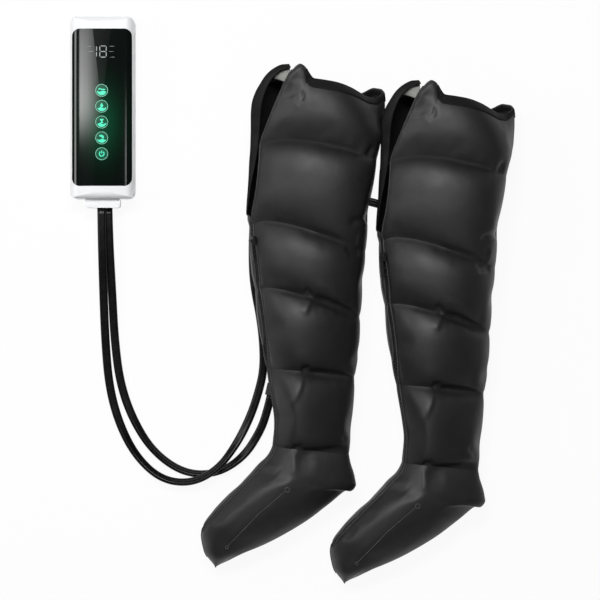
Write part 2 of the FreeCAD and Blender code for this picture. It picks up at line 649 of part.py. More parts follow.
def make_hose(name, route):
    points = [Vector(*point) for point in route]
    path, radii = rounded_path(points)
    profile = oval(path)
    hose = swept(path, profile)
    expected = Part.Face(profile).Area * path.Length
    print(name, "length", round(path.Length, 1), "volume against section times length",
          round(hose.Volume / expected, 4), "radii", [round(radius) for radius in radii])
    return node(feature(name, hose), name)


def hose_bed():
    """Room that the soft left boot leaves where it lies on the hose to the right boot."""
    path, radii = rounded_path([Vector(*point) for point in RIGHT_HOSE_ROUTE[HOSE_BED_FIRST_POINT:]])
    at, sideways, upward = start_plane(path)
    half = size.hose_width / 2 + size.hose_bed_gap
    high = size.hose_thickness / 2 + size.hose_bed_gap
    corners = [
        at + sideways * u + upward * z
        for u, z in ((-half, -high), (half, -high), (half, high), (-half, high))
    ]
    return swept(path, Part.makePolygon(corners + corners[:1]))


# Boots

def station(name):
    front_x, front_y, back_x, back_y, depth = STATION_SHARES[name]
    front = Vector(front_x * size.boot_width, front_y * size.boot_length, 0)
    back = Vector(back_x * size.boot_width, back_y * size.boot_length, 0)
    return front, back, depth * size.boot_depth


def blend(first, second, share):
    return tuple(a + (b - a) * share for a, b in zip(first, second))


def between(names, share):
    """The station at a share of the way along a row of stations."""
    places = [station(name) for name in names]
    step = min(int(share * (len(places) - 1)), len(places) - 2)
    return blend(places[step], places[step + 1], share * (len(places) - 1) - step)


def section(here, inset, lift, drop):
    front, back, depth = here
    across = (back - front).normalize()
    middle = (front + back) / 2
    low = LOW_ROUND_SHARE * (depth - drop - lift)
    corner = HIGH_ROUND_SHARE * (depth - drop - lift - low)

    def to_space(u, z):
        return middle + across * u + UP * z
    return pillow((back - front).Length / 2 - inset, lift, low, 0, depth - drop, corner, to_space)


def full(here):
    return section(here, 0, -size.floor_cut, 0)


def weld(here):
    return section(here, size.weld_inset, size.weld_lift, size.weld_drop)


def hollow(here):
    return section(here, size.chamber_wall, size.chamber_wall, size.chamber_wall)


def zip_frames():
    """Seats of the zip along the front edge: a point, the way down the zip, outward and across."""
    tilt = math.radians(size.zip_tilt)
    seats = []
    for name in ZIP_STATIONS:
        front, back, depth = station(name)
        inward = (back - front).normalize()
        low = LOW_ROUND_SHARE * depth
        corner = HIGH_ROUND_SHARE * (depth - low)
        reach = corner - size.zip_seat
        level = low + reach * math.sin(tilt)
        seats.append(front + inward * (corner - reach * math.cos(tilt)) + UP * level)
    straight = [ZIP_STATIONS.index(name) for name in ZIP_STRAIGHT]
    frames = []
    for index, seat in enumerate(seats):
        if index in straight:
            down = seats[straight[1]] - seats[straight[0]]
        else:
            down = seats[min(index + 1, len(seats) - 1)] - seats[max(index - 1, 0)]
        half_slit = size.slit_half_width * SLIT_OPEN_SHARES.get(ZIP_STATIONS[index], 1)
        frames.append(zip_frame(seat, down, half_slit))
    return frames


def zip_frame(seat, down, half_slit, tilt=None):
    down = Vector(down).normalize()
    angle = math.radians(size.zip_tilt if tilt is None else tilt)
    level = Vector(down.y, -down.x, 0).normalize()
    out = level * math.cos(angle) + UP * math.sin(angle)
    out = (out - down * out.dot(down)).normalize()
    return SimpleNamespace(seat=seat, down=down, out=out, across=out.cross(down), half_slit=half_slit)


def moved(frame, distance):
    return SimpleNamespace(**{**vars(frame), "seat": frame.seat + frame.down * distance})


def strip(frames, sides, low, high):
    """A ruled band along the zip; sides gives the band's two edges, across the zip, at a frame."""
    wires = []
    for frame in frames:
        near, far = sides(frame)
        corners = [
            frame.seat + frame.across * u + frame.out * v
            for u, v in ((near, low), (far, low), (far, high), (near, high))
        ]
        wires.append(Part.makePolygon(corners + corners[:1]))
    return Part.makeLoft(wires, True, True)


FRAMES = zip_frames()
LONG_FRAMES = (
    [moved(FRAMES[0], -2 * size.cuff_length - size.overrun)] + FRAMES + [moved(FRAMES[-1], size.overrun)]
)
CLOSED_FRAMES = FRAMES[ZIP_STATIONS.index(ZIP_STRAIGHT[0]):]


def zip_cut(names):
    """Everything in front of the zip's seat along some stations, and the slit through the wall there."""
    places = [ZIP_STATIONS.index(name) for name in names if name in ZIP_STATIONS]
    frames = LONG_FRAMES[places[0]:places[-1] + 3]

    def wide(frame):
        return -size.trim_half_width, size.trim_half_width

    def narrow(frame):
        return -frame.half_slit, frame.half_slit
    front = strip(frames, wide, 0, size.trim_height)
    slit = strip(frames, narrow, -size.slit_depth, size.trim_height)
    return [front, slit]


def cavity(places):
    return Part.makeLoft([hollow(here) for here in places], True, False)


def boot_chambers():
    """The chambers' solids from the leg opening to the toe, with the leg's hollow and the zip's slit."""
    beyond = blend(station("rim"), station("weld_1"), -FULL_SHARES[0])
    leg_places = [beyond] + [station(name) for name in
                             ("rim", "weld_1", "weld_2", "weld_3", "weld_4", "shin", "ankle", "heel")]
    leg_room = cavity(leg_places)
    foot_room = cavity([station(name) for name in ["shin"] + FOOT_STATIONS[:-3]])
    floor = Part.makeBox(2 * size.boot_width, 2 * size.boot_length, size.boot_depth,
                         Vector(-size.boot_width / 2, -size.boot_length / 2, -size.boot_depth))
    solids = []
    for names in LEG_CHAMBERS:
        rings = [weld(station(names[0]))] + [full(between(names, share)) for share in FULL_SHARES]
        solid = Part.makeLoft(rings + [weld(station(names[-1]))], True, False)
        solids.append(solid.cut([leg_room, floor] + zip_cut(names)))
    rings = [weld(station(FOOT_STATIONS[0]))] + [full(station(name)) for name in FOOT_STATIONS[1:-1]]
    rings.append(section(station(FOOT_STATIONS[-1]), 0, size.toe_lift, 0))
    solids.append(Part.makeLoft(rings, True, False).cut([foot_room, floor] + zip_cut(FOOT_STATIONS)))
    return solids


def boot_cuff():
    """Hem round the leg opening, with the collar's folded tip standing up on it."""
    front, back, depth = station("rim")

    def ring(rise, wall):
        here = (front + LENGTHWAYS * rise, back + LENGTHWAYS * rise, depth)
        return section(here, size.weld_inset + wall, size.weld_lift + wall, size.weld_drop + wall)
    top = size.cuff_length
    inner = [ring(rise, size.cuff_wall) for rise in (-size.overrun, top + size.overrun)]
    room = Part.makeLoft(inner, True, True)
    band = Part.makeLoft([ring(0, 0), ring(top, 0)], True, True).cut([room] + zip_cut(["rim"]))
    level = COLLAR_TIP_LEVEL_SHARE * depth
    foot = front + (back - front) * COLLAR_TIP_SHARE + LENGTHWAYS * top + UP * level
    half = Vector(size.collar_tip_width / 2, 0, 0)
    root = LENGTHWAYS * (-size.cuff_length / 2)
    corners = [foot - half + root, foot + half + root, foot + LENGTHWAYS * size.collar_tip_length]
    tip = Part.Face(Part.makePolygon(corners + corners[:1])).extrude(UP * size.collar_tip_thickness)
    return band.fuse(tip).removeSplitter()


def hem_loop():
    """The far panel's hem, standing away from the open zip in an arch over the leg opening."""
    def on_far_lip(frame):
        return frame.seat - frame.across * (frame.half_slit + size.hem_width / 2)
    low_frame, high_frame = CLOSED_FRAMES[0], FRAMES[ZIP_STATIONS.index(HEM_FREE_FROM)]
    heading = Vector(-high_frame.down.x, -high_frame.down.y, 0).normalize()
    at = on_far_lip(high_frame) + heading * size.hem_run
    frames = [zip_frame(on_far_lip(frame), frame.down, 0) for frame in (low_frame, high_frame)]
    frames.append(zip_frame(at, -heading, 0))
    tilt = size.zip_tilt
    for radius, sweep, steps in (
        (size.hem_loop_radius, size.hem_loop_sweep, HEM_LOOP_STEPS),
        (size.hem_tip_radius, size.hem_tip_sweep, HEM_TIP_STEPS),
    ):
        right = Vector(heading.y, -heading.x, 0)
        centre = at + right * radius
        start = Vector(heading)
        for step in range(1, steps + 1):
            angle = math.radians(sweep * step / steps)
            at = centre - right * (radius * math.cos(angle)) + start * (radius * math.sin(angle))
            heading = start * math.cos(angle) + right * math.sin(angle)
            tilt += (HEM_END_TILT - tilt) / steps
            frames.append(zip_frame(at, -heading, 0, tilt))
    half = size.hem_width / 2
    return strip(frames, lambda frame: (-half, half), 0, size.hem_thickness)


def zip_tapes():
    def near(frame):
        inner = frame.half_slit - size.tape_overhang
        return inner, inner + size.tape_width

    def far(frame):
        return tuple(-edge for edge in near(frame))
    return [strip(FRAMES, near, 0, size.tape_thickness),
            strip(CLOSED_FRAMES, far, 0, size.tape_thickness)]


def zip_teeth():
    def near(frame):
        inner = frame.half_slit - size.tape_overhang
        return inner - size.tooth_width, inner

    def far(frame):
        return tuple(-edge for edge in near(frame))
    return [strip(FRAMES, near, -size.tooth_depth, size.tooth_height),
            strip(CLOSED_FRAMES, far, -size.tooth_depth, size.tooth_height)]


def slider_place():
    """Where the slider's upper end stands, with its x across the zip, y down it and z outward."""
    frame = moved(CLOSED_FRAMES[0], size.slider_drop)
    y, z, at = frame.down, frame.out, frame.seat
    x = y.cross(z)
    return Placement(Matrix(x.x, y.x, z.x, at.x, x.y, y.y, z.y, at.y, x.z, y.z, z.z, at.z, 0, 0, 0, 1))


def box_from(low, high):
    span = high - low
    return Part.makeBox(span.x, span.y, span.z, low)


PLATE_LOW = size.tooth_height + size.running_gap
PLATE_HIGH = PLATE_LOW + size.slider_plate
PIN_Y = size.slider_length / 2
PIN_Z = PLATE_HIGH + size.pin_height
LUG_FROM = size.pull_eye_width / 2 + size.pull_eye_gap


def zip_slider():
    half, inner = size.slider_width / 2, size.slider_inner_width / 2
    under = -size.tooth_depth - size.running_gap
    lip_low = size.tape_thickness + size.running_gap
    pieces = [
        box_from(Vector(-half, 0, PLATE_LOW), Vector(half, size.slider_length, PLATE_HIGH)),
        box_from(Vector(-inner, 0, under - size.slider_plate), Vector(inner, size.slider_length, under)),
        box_from(Vector(-size.slider_blade / 2, 0, under - size.slider_plate),
                 Vector(size.slider_blade / 2, size.slider_blade_length, PLATE_HIGH)),
    ]
    for side in (-1, 1):
        lip = sorted((side * half, side * (half - size.slider_lip)))
        pieces.append(box_from(Vector(lip[0], 0, lip_low), Vector(lip[1], size.slider_length, PLATE_HIGH)))
        lug = sorted((side * LUG_FROM, side * (LUG_FROM + size.lug_width)))
        lug_top = PIN_Z + size.pin_radius + size.slider_lip
        pieces.append(box_from(Vector(lug[0], PIN_Y - size.lug_length / 2, PLATE_LOW),
                               Vector(lug[1], PIN_Y + size.lug_length / 2, lug_top)))
    reach = LUG_FROM + size.lug_width
    end = Vector(-reach, PIN_Y, PIN_Z)
    pieces.append(Part.makeCylinder(size.pin_radius, 2 * reach, end, Vector(1, 0, 0)))
    return pieces[0].multiFuse(pieces[1:]).removeSplitter()


def zip_pull():
    half_eye, half_tab = size.pull_eye_width / 2, size.pull_width / 2
    thick = size.pull_thickness / 2
    lug_corner = math.hypot(size.lug_length / 2, size.pin_radius + size.slider_lip)
    tab_from = PIN_Y + lug_corner + size.pull_eye_gap
    end, across = Vector(-half_eye, PIN_Y, PIN_Z), Vector(1, 0, 0)
    eye = Part.makeCylinder(size.pull_eye_radius, size.pull_eye_width, end, across)
    hole = Part.makeCylinder(size.pin_radius + size.pull_eye_gap, size.pull_eye_width, end, across)
    neck = box_from(Vector(-half_eye, PIN_Y, PIN_Z - thick), Vector(half_eye, tab_from, PIN_Z + thick))
    tab = box_from(Vector(-half_tab, tab_from, PIN_Z - thick),
                   Vector(half_tab, tab_from + size.pull_length, PIN_Z + thick))
    return eye.multiFuse([neck, tab]).cut(hole).removeSplitter()


def make_inlet(name, route, chambers):
    """The hose's end fitting, seated under the boot's rounded front edge."""
    end, before = Vector(*route[-1]), Vector(*route[-2])
    ahead = (end - before).normalize()
    item = bind(doc.addObject("Part::Box", name + "_blank"),
                Length="inlet_length", Width="inlet_width", Height="inlet_height")
    corner = Vector(end.x, end.y, size.inlet_lift) + Vector(ahead.y, -ahead.x, 0) * size.inlet_width / 2
    item.Placement = Placement(corner, Rotation(Vector(1, 0, 0), Vector(ahead.x, ahead.y, 0)))
    node(less(name, item, chambers), name)


def make_boots():
    chambers = boot_chambers()
    cuff, hem = boot_cuff(), hem_loop()
    tapes, teeth = Part.Compound(zip_tapes()), Part.Compound(zip_teeth())
    slider, pull = zip_slider(), zip_pull()
    bed = hose_bed()
    pair_step_x = PAIR_STEP_SHARE * size.boot_width + size.pair_gap
    made = {}
    for side, at in (
        ("left", Vector(size.boot_x, size.boot_y, 0)),
        ("right", Vector(size.boot_x + pair_step_x, size.boot_y + size.pair_step_y, 0)),
    ):
        for index, shape in enumerate(chambers, 1):
            name = f"{side}_chamber_{index}" if index <= len(LEG_CHAMBERS) else f"{side}_foot_chamber"
            if side == "left" and index in (2, 3):
                shape = shape.cut(bed.translated(-at))
            made[name] = node(feature(name, shape, at), name)
        for name, shape in (("cuff", cuff), ("zip_hem", hem), ("zip_tapes", tapes), ("zip_teeth", teeth)):
            node(feature(f"{side}_{name}", shape, at), f"{side}_{name}")
        for name, shape in (("zip_slider", slider), ("zip_pull", pull)):
            item = node(feature(f"{side}_{name}", shape), f"{side}_{name}")
            item.Placement = Placement(at, Rotation()).multiply(slider_place())
        pin = Placement(at, Rotation()).multiply(slider_place()).multVec(Vector(0, PIN_Y, PIN_Z))
        print(side, "zip pin", pin, "down", CLOSED_FRAMES[0].down, "across", CLOSED_FRAMES[0].across,
              "run", (CLOSED_FRAMES[1].seat - CLOSED_FRAMES[0].seat).Length)
    doc.recompute()
    make_inlet("left_air_inlet", LEFT_HOSE_ROUTE, [made["left_chamber_5"]])
    make_inlet("right_air_inlet", RIGHT_HOSE_ROUTE, [made["right_chamber_2"], made["right_chamber_3"]])


make_rear_shell()
make_front_shell()
make_lens()
make_keys()
make_board()
make_case_screws_and_feet()
make_battery()
make_pump()
make_valves()
make_plug()
make_hose("left_hose", LEFT_HOSE_ROUTE)
make_hose("right_hose", RIGHT_HOSE_ROUTE)
make_boots()
doc.recompute()

for item in doc.Objects:
    if "Invalid" in item.State or "Error" in item.State:
        raise RuntimeError(f"{item.Name} failed: {item.State}")
for item in nodes:
    if item.Shape.isNull() or not item.Shape.isValid() or not item.Shape.Solids:
        raise RuntimeError(f"{item.Label} has no valid solid")

os.makedirs("parts", exist_ok=True)
for item in nodes:
    item.Shape.exportStep(f"parts/{item.Label}.step")
    print(item.Label, len(item.Shape.Solids), round(item.Shape.Volume))
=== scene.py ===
"""Looks of the pair of compression boots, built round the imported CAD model. All lengths are in metres."""

import math

import bmesh
import bpy
import numpy as np
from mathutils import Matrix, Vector
from mathutils.bvhtree import BVHTree


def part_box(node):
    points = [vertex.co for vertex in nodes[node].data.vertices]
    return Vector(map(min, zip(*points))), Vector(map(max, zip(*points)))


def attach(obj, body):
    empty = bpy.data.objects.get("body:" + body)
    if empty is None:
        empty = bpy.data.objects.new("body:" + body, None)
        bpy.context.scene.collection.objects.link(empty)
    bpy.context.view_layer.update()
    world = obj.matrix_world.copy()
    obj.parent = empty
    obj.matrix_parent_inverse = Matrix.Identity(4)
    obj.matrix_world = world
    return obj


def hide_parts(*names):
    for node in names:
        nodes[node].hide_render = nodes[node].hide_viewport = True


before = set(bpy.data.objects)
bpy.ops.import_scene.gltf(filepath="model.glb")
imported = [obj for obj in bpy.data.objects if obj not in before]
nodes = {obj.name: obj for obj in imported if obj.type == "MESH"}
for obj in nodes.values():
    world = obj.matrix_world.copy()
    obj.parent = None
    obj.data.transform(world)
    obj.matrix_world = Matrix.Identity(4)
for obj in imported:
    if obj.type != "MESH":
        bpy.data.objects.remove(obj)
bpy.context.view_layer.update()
scene = bpy.context.scene
scene.view_settings.view_transform = "Standard"

MM = 0.001
# One pixel of the photograph on the floor plan, and the pixel over the frame's origin.
PIXEL = 1.8 * MM
ORIGIN_PIXEL = (290.3, 300.5)
# From the left boot to the right one.
PAIR_STEP = (233.4 * MM, -29 * MM, 0)


def spot(x, y):
    """The place on the floor plan of one pixel of the photograph."""
    return np.array(((x - ORIGIN_PIXEL[0]) * PIXEL, (ORIGIN_PIXEL[1] - y) * PIXEL))


def along(table, at):
    """The rows (place, value, ...) of a table, read at the given places on a smooth curve."""
    table = np.array(table, float)
    places, values = table[:, 0], table[:, 1:]
    gaps = np.diff(places)[:, None]
    rises = np.diff(values, axis=0) / gaps
    first, second = 2 * gaps[1:] + gaps[:-1], gaps[1:] + 2 * gaps[:-1]
    turns = rises[:-1] * rises[1:] <= 0
    safe = np.where(turns, 1, rises[:-1]), np.where(turns, 1, rises[1:])
    middle = np.where(turns, 0, (first + second) / (first / safe[0] + second / safe[1]))
    slopes = np.vstack((rises[:1], middle, rises[-1:]))
    at = np.clip(np.atleast_1d(np.asarray(at, float)), places[0], places[-1])
    i = np.clip(np.searchsorted(places, at, side="right") - 1, 0, len(places) - 2)
    step = (places[i + 1] - places[i])[:, None]
    q = (at - places[i])[:, None] / step
    return ((1 + 2 * q) * (1 - q) ** 2 * values[i] + q * (1 - q) ** 2 * step * slopes[i]
            + q * q * (3 - 2 * q) * values[i + 1] + q * q * (q - 1) * step * slopes[i + 1])


def run_along(points):
    """How far each point of a polyline is from the first one, along it."""
    return np.concatenate(([0], np.cumsum(np.linalg.norm(np.diff(points, axis=0), axis=1))))


def even(points, count):
    """A polyline's points, spread evenly along it."""
    points = np.asarray(points, float)
    run = run_along(points)
    at = np.linspace(0, run[-1], count)
    return np.column_stack([np.interp(at, run, points[:, i]) for i in range(points.shape[1])])


def unit(vectors):
    """Vectors on the last axis, brought to a length of 1."""
    return vectors / np.maximum(np.linalg.norm(vectors, axis=-1, keepdims=True), 1e-12)


def smooth_step(value):
    """0 below 0, 1 above 1 and a smooth rise between."""
    value = np.clip(value, 0, 1)
    return value * value * (3 - 2 * value)


# ------------ camera and light

# The camera looks straight down. At a distance of 5 m it sees a field 1.08 m wide.
SENSOR, FIELD, FIELD_DISTANCE = 36, 1.08, 5
camera = bpy.data.objects.new("camera", bpy.data.cameras.new("camera"))
camera.location = (0.0175, 0.0009, 5.06)
camera.data.sensor_width = SENSOR
camera.data.lens = SENSOR * FIELD_DISTANCE / FIELD
scene.collection.objects.link(camera)
scene.camera = camera


def area_light(name, place, target, size, power):
    lamp = bpy.data.lights.new(name, "AREA")
    lamp.shape = "RECTANGLE"
    lamp.size, lamp.size_y = size
    lamp.energy = power
    made = bpy.data.objects.new(name, lamp)
    made.location = place
    made.rotation_euler = (Vector(target) - Vector(place)).to_track_quat("-Z", "Y").to_euler()
    scene.collection.objects.link(made)
    return lamp


def wire(tree, node, *placed, **named):
    """Sets a node's inputs, by place or by name, to constants, or links them to sockets."""
    sockets = [*node.inputs[:len(placed)], *(node.inputs[key.replace("_", " ")] for key in named)]
    for socket, value in zip(sockets, (*placed, *named.values())):
        if isinstance(value, bpy.types.NodeSocket):
            tree.links.new(value, socket)
        else:
            socket.default_value = value
    return node


def add_node(tree, kind, *placed, **named):
    return wire(tree, tree.nodes.new("ShaderNode" + kind), *placed, **named)


def maths(tree, operation, first, second):
    made = add_node(tree, "Math", first, second)
    made.operation = operation
    return made.outputs["Value"]


def fading(lamp, across, along_it):
    """Lets a lamp's light change over its face, by (place, share) rows across and along it."""
    lamp.use_nodes = True
    tree = lamp.node_tree
    face = add_node(tree, "NewGeometry").outputs["Parametric"]
    parts = add_node(tree, "SeparateXYZ", Vector=face)
    shares = []
    for axis, rows in (("X", across), ("Y", along_it)):
        node = add_node(tree, "ValToRGB", Fac=parts.outputs[axis])
        ramp = node.color_ramp
        ramp.interpolation = "EASE"
        while len(ramp.elements) < len(rows):
            ramp.elements.new(0.5)
        for element, (place, share) in zip(ramp.elements, rows):
            element.position = place
            element.color = (share, share, share, 1)
        shares.append(node.outputs["Color"])
    wire(tree, tree.nodes["Emission"], Strength=maths(tree, "MULTIPLY", *shares))


area_light("key_light", (-0.2, 1.25, 2.6), (0, 0, 0), (1.4, 0.6), 53)
area_light("fill_light", (-2.0, 0.6, 1.7), (-0.1, 0, 0), (1.2, 1.0), 20)
area_light("foot_light", (0.0, -1.5, 2.2), (0.05, -0.4, 0), (1.6, 0.8), 7)
# Strips that the controller's window reflects, on its left and along its right edge.
left_strip = area_light("left_strip", (-1.01, 0.67, 3.2), (-1.01, 0.67, 0), (0.90, 0.42), 13)
fading(left_strip, ((0, 1), (0.3, 0.75), (0.6, 0.32), (1, 0.05)), ((0, 0), (0.3, 1), (0.6, 0.7), (1, 0.3)))
right_strip = area_light("right_strip", (0.45, 0.47, 3.2), (0.45, 0.47, 0), (0.14, 0.34), 3)
fading(right_strip, ((0, 0), (0.5, 1), (1, 0)), ((0, 0.6), (0.3, 1), (0.6, 0.6), (1, 0)))

world = bpy.data.worlds.new("studio")
world.use_nodes = True
world.node_tree.nodes["Background"].inputs["Color"].default_value = (0.07, 0.071, 0.073, 1)
scene.world = world


# ------------ materials

# The span of a noise's values over which colour and roughness change.
NOISE_SPAN = (0.3, 0.7)


class Finish:
    """A material round one Principled shader."""

    def __init__(self, name, **inputs):
        self.material = bpy.data.materials.new(name)
        self.material.use_nodes = True
        self.tree = self.material.node_tree
        self.place = add_node(self.tree, "TexCoord").outputs["Object"]
        self.shade(**inputs)

    def shade(self, **inputs):
        wire(self.tree, self.tree.nodes["Principled BSDF"], **inputs)

    def noise(self, scale, detail=3, distortion=0.0, stretch=None):
        place = self.place
        if stretch:
            place = add_node(self.tree, "Mapping", Vector=place, Scale=stretch).outputs["Vector"]
        made = add_node(self.tree, "TexNoise", Vector=place, Scale=scale, Detail=detail, Distortion=distortion)
        return made.outputs["Fac"]

    def weave(self, pitch, turn=0.0):
        """Crossed threads of the given pitch."""
        place = add_node(self.tree, "Mapping", Vector=self.place, Rotation=(0, 0, turn)).outputs["Vector"]
        threads = []
        for direction in "XY":
            # In the wave node, a scale of 1 makes 20 radians a metre.
            wave = add_node(self.tree, "TexWave", Vector=place, Scale=2 * math.pi / (20 * pitch))
            wave.bands_direction = direction
            threads.append(wave.outputs["Fac"])
        return maths(self.tree, "MULTIPLY", *threads)

    def colours(self, source, low, high):
        """Lets the base colour change with the source, from a low colour or grey to a high one."""
        ramp = add_node(self.tree, "ValToRGB", Fac=source)
        for element, place, colour in zip(ramp.color_ramp.elements, NOISE_SPAN, (low, high)):
            element.position = place
            element.color = (*np.broadcast_to(colour, 3), 1)
        self.shade(Base_Color=ramp.outputs["Color"])

    def spread(self, source, start, span, target):
        """Takes the source's values from one span to another, for one of the shader's inputs."""
        made = add_node(self.tree, "MapRange", source, *start, *span)
        self.shade(**{target: made.outputs["Result"]})

    def rough(self, source, span):
        self.spread(source, NOISE_SPAN, span, "Roughness")

    def bump(self, *layers):
        """Bumps from (source, strength, height) layers, the first one at the bottom."""
        below = {}
        for source, strength, height in layers:
            made = add_node(self.tree, "Bump", Strength=strength, Distance=height, Height=source, **below)
            below = {"Normal": made.outputs["Normal"]}
        self.shade(**below)


def cloth_finish(name, low, high, rough, pitch, gloss=0.35, wrinkle=0.0):
    finish = Finish(name, Specular_IOR_Level=gloss)
    finish.colours(finish.noise(60, 4), low, high)
    finish.rough(finish.noise(35, 4), rough)
    layers = [(finish.weave(pitch, 0.3), 0.25, 0.1 * MM)]
    if wrinkle:
        layers.insert(0, (finish.noise(22, 5, 0.6), wrinkle, 4 * MM))
    finish.bump(*layers)
    return finish.material


def moulded_finish(name, low, high, rough, grain, strength=0.1, **inputs):
    finish = Finish(name, **inputs)
    finish.colours(finish.noise(40, 3), low, high)
    finish.rough(finish.noise(90, 3), rough)
    finish.bump((finish.noise(grain, 2), strength, 0.05 * MM))
    return finish.material


def metal_finish(name, low, high, rough, stretch):
    finish = Finish(name, Metallic=1.0)
    finish.colours(finish.noise(200, 3, stretch=stretch), low, high)
    finish.rough(finish.noise(300, 3, stretch=stretch), rough)
    finish.bump((finish.noise(900, 2, stretch=stretch), 0.1, 0.02 * MM))
    return finish.material


BOOT = cloth_finish("boot_fabric", (0.0090, 0.0080, 0.0083), (0.0115, 0.0103, 0.0106), (0.48, 0.56), 0.9 * MM,
                    0.55, 0.15)
HEM = cloth_finish("hem_fabric", (0.0035, 0.0037, 0.0036), (0.0055, 0.0057, 0.0056), (0.6, 0.75), 1.2 * MM, 0.2)
BINDING = cloth_finish("binding_fabric", 0.032, 0.046, (0.5, 0.6), 1.0 * MM)
GREY_PATCH = cloth_finish("loop_patch_grey", (0.30, 0.30, 0.28), (0.36, 0.36, 0.34), (0.6, 0.7), 1.0 * MM)
WELD = cloth_finish("weld_line", 0.10, 0.13, (0.5, 0.6), 1.0 * MM)
TAPE = cloth_finish("zip_tape", 0.004, 0.007, (0.7, 0.8), 0.8 * MM, 0.15)
TEETH = moulded_finish("zip_teeth", (0.010, 0.010, 0.011), (0.016, 0.016, 0.017), (0.4, 0.5), 2000)
ENAMEL = moulded_finish("zip_metal", (0.020, 0.020, 0.022), (0.030, 0.030, 0.032), (0.22, 0.32), 1500)
HOSE = moulded_finish("hose_rubber", 0.002, 0.004, (0.26, 0.34), 1200, Specular_IOR_Level=0.25)
FITTING = moulded_finish("fitting", (0.022, 0.022, 0.024), (0.032, 0.032, 0.034), (0.4, 0.5), 1400)
WHITE = moulded_finish("case_white", (0.85, 0.86, 0.87), (0.87, 0.88, 0.89), (0.32, 0.40), 1600, 0.05)
KEY_BLACK = moulded_finish("key_black", (0.001, 0.006, 0.004), (0.002, 0.008, 0.006), (0.14, 0.2), 500, 0.02,
                           Emission_Color=(0.01, 1.0, 0.45, 1), Emission_Strength=0.09)
DISPLAY = moulded_finish("display", (0.05, 0.055, 0.06), (0.07, 0.075, 0.08), (0.2, 0.3), 800)
BOARD = moulded_finish("board_green", (0.03, 0.2, 0.09), (0.05, 0.24, 0.11), (0.4, 0.5), 700)
SWITCH = moulded_finish("switch", (0.04, 0.04, 0.045), (0.06, 0.06, 0.065), (0.4, 0.5), 900)
CELLS = moulded_finish("cell_wrap", (0.02, 0.16, 0.35), (0.03, 0.2, 0.42), (0.3, 0.4), 500)
INNER = moulded_finish("inner_plastic", (0.25, 0.26, 0.27), (0.31, 0.32, 0.33), (0.45, 0.55), 900)
RUBBER = moulded_finish("foot_rubber", (0.02, 0.02, 0.021), (0.032, 0.032, 0.033), (0.7, 0.8), 1100, 0.2)
TUBE = moulded_finish("soft_tube", (0.5, 0.5, 0.48), (0.6, 0.6, 0.58), (0.35, 0.45), 700)
SEAL = moulded_finish("seal", (0.1, 0.02, 0.015), (0.14, 0.03, 0.02), (0.5, 0.6), 900)
STEEL = metal_finish("steel", (0.5, 0.5, 0.51), (0.62, 0.62, 0.63), (0.25, 0.4), (1, 1, 6))
CRANK = metal_finish("crank_metal", (0.45, 0.42, 0.36), (0.55, 0.52, 0.45), (0.3, 0.45), (6, 1, 6))


# The pixel over the middle of the lit keys, how far their glow reaches across and along the window, the share
# of it that is left there, and its strength.
KEYS_PIXEL = (101.5, 122)
GLOW_REACH = (0.032, 0.062)
GLOW_LEFT, GLOW_STRENGTH = 0.3, 0.055


def lens_finish():
    """Black mirror gloss, with the green glow of the lit keys inside it."""
    finish = Finish("window_black", Roughness=0.07, Emission_Color=(0.05, 1.0, 0.42, 1))
    finish.colours(finish.noise(30, 2), (0.0006, 0.0024, 0.0016), (0.001, 0.0032, 0.0022))
    tree = finish.tree
    parts = add_node(tree, "SeparateXYZ", Vector=finish.place)
    low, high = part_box("front_lens")
    middle = ((low[0] + high[0]) / 2, spot(*KEYS_PIXEL)[1])
    fades = []
    for axis, start, reach in zip("XY", middle, GLOW_REACH):
        share = maths(tree, "DIVIDE", maths(tree, "SUBTRACT", parts.outputs[axis], start), reach)
        fades.append(maths(tree, "POWER", GLOW_LEFT, maths(tree, "POWER", share, 2)))
    finish.spread(maths(tree, "MULTIPLY", *fades), (0, 1), (0, GLOW_STRENGTH), "Emission_Strength")
    return finish.material


def lit_finish(name, colour, strength):
    finish = Finish(name, Roughness=0.3, Emission_Color=(*colour, 1))
    finish.colours(finish.noise(300, 2), tuple(0.5 * c for c in colour), tuple(0.6 * c for c in colour))
    finish.spread(finish.noise(400, 2), (0, 1), (0.9 * strength, 1.1 * strength), "Emission_Strength")
    return finish.material


LENS = lens_finish()
MINT = lit_finish("lit_symbol", (0.04, 0.72, 0.44), 0.75)
RING = lit_finish("lit_ring", (0.25, 0.68, 0.52), 0.6)
DIGIT = lit_finish("lit_digit", (0.36, 0.41, 0.40), 0.3)


# The floor's grey under the lamps, and the share of plain white that the camera sees over it.
FLOOR_GREY, FLOOR_WHITE = 0.93, 0.93


def floor_finish():
    """White to the camera and in mirrors, with a faint shadow of the object left on it."""
    made = bpy.data.materials.new("floor_white")
    made.use_nodes = True
    tree = made.node_tree
    tree.nodes.clear()
    path = add_node(tree, "LightPath")
    seen = path.outputs["Is Camera Ray"]
    for kind in ("Is Glossy Ray", "Is Transmission Ray"):
        seen = maths(tree, "MAXIMUM", seen, path.outputs[kind])
    grey = add_node(tree, "BsdfDiffuse", Color=(FLOOR_GREY, FLOOR_GREY, FLOOR_GREY, 1)).outputs["BSDF"]
    white = add_node(tree, "Emission").outputs["Emission"]
    mix = add_node(tree, "MixShader", maths(tree, "MULTIPLY", seen, FLOOR_WHITE), grey, white)
    add_node(tree, "OutputMaterial", Surface=mix.outputs["Shader"])
    return made


# ------------ pieces and floor

def add_mesh(name, mesh, material):
    mesh.materials.append(material)
    made = bpy.data.objects.new(name, mesh)
    scene.collection.objects.link(made)
    return made


def add_object(name, points, faces, material):
    mesh = bpy.data.meshes.new(name)
    mesh.from_pydata([tuple(map(float, p)) for p in points], [], [tuple(f) for f in faces])
    mesh.polygons.foreach_set("use_smooth", [True] * len(mesh.polygons))
    return add_mesh(name, mesh, material)


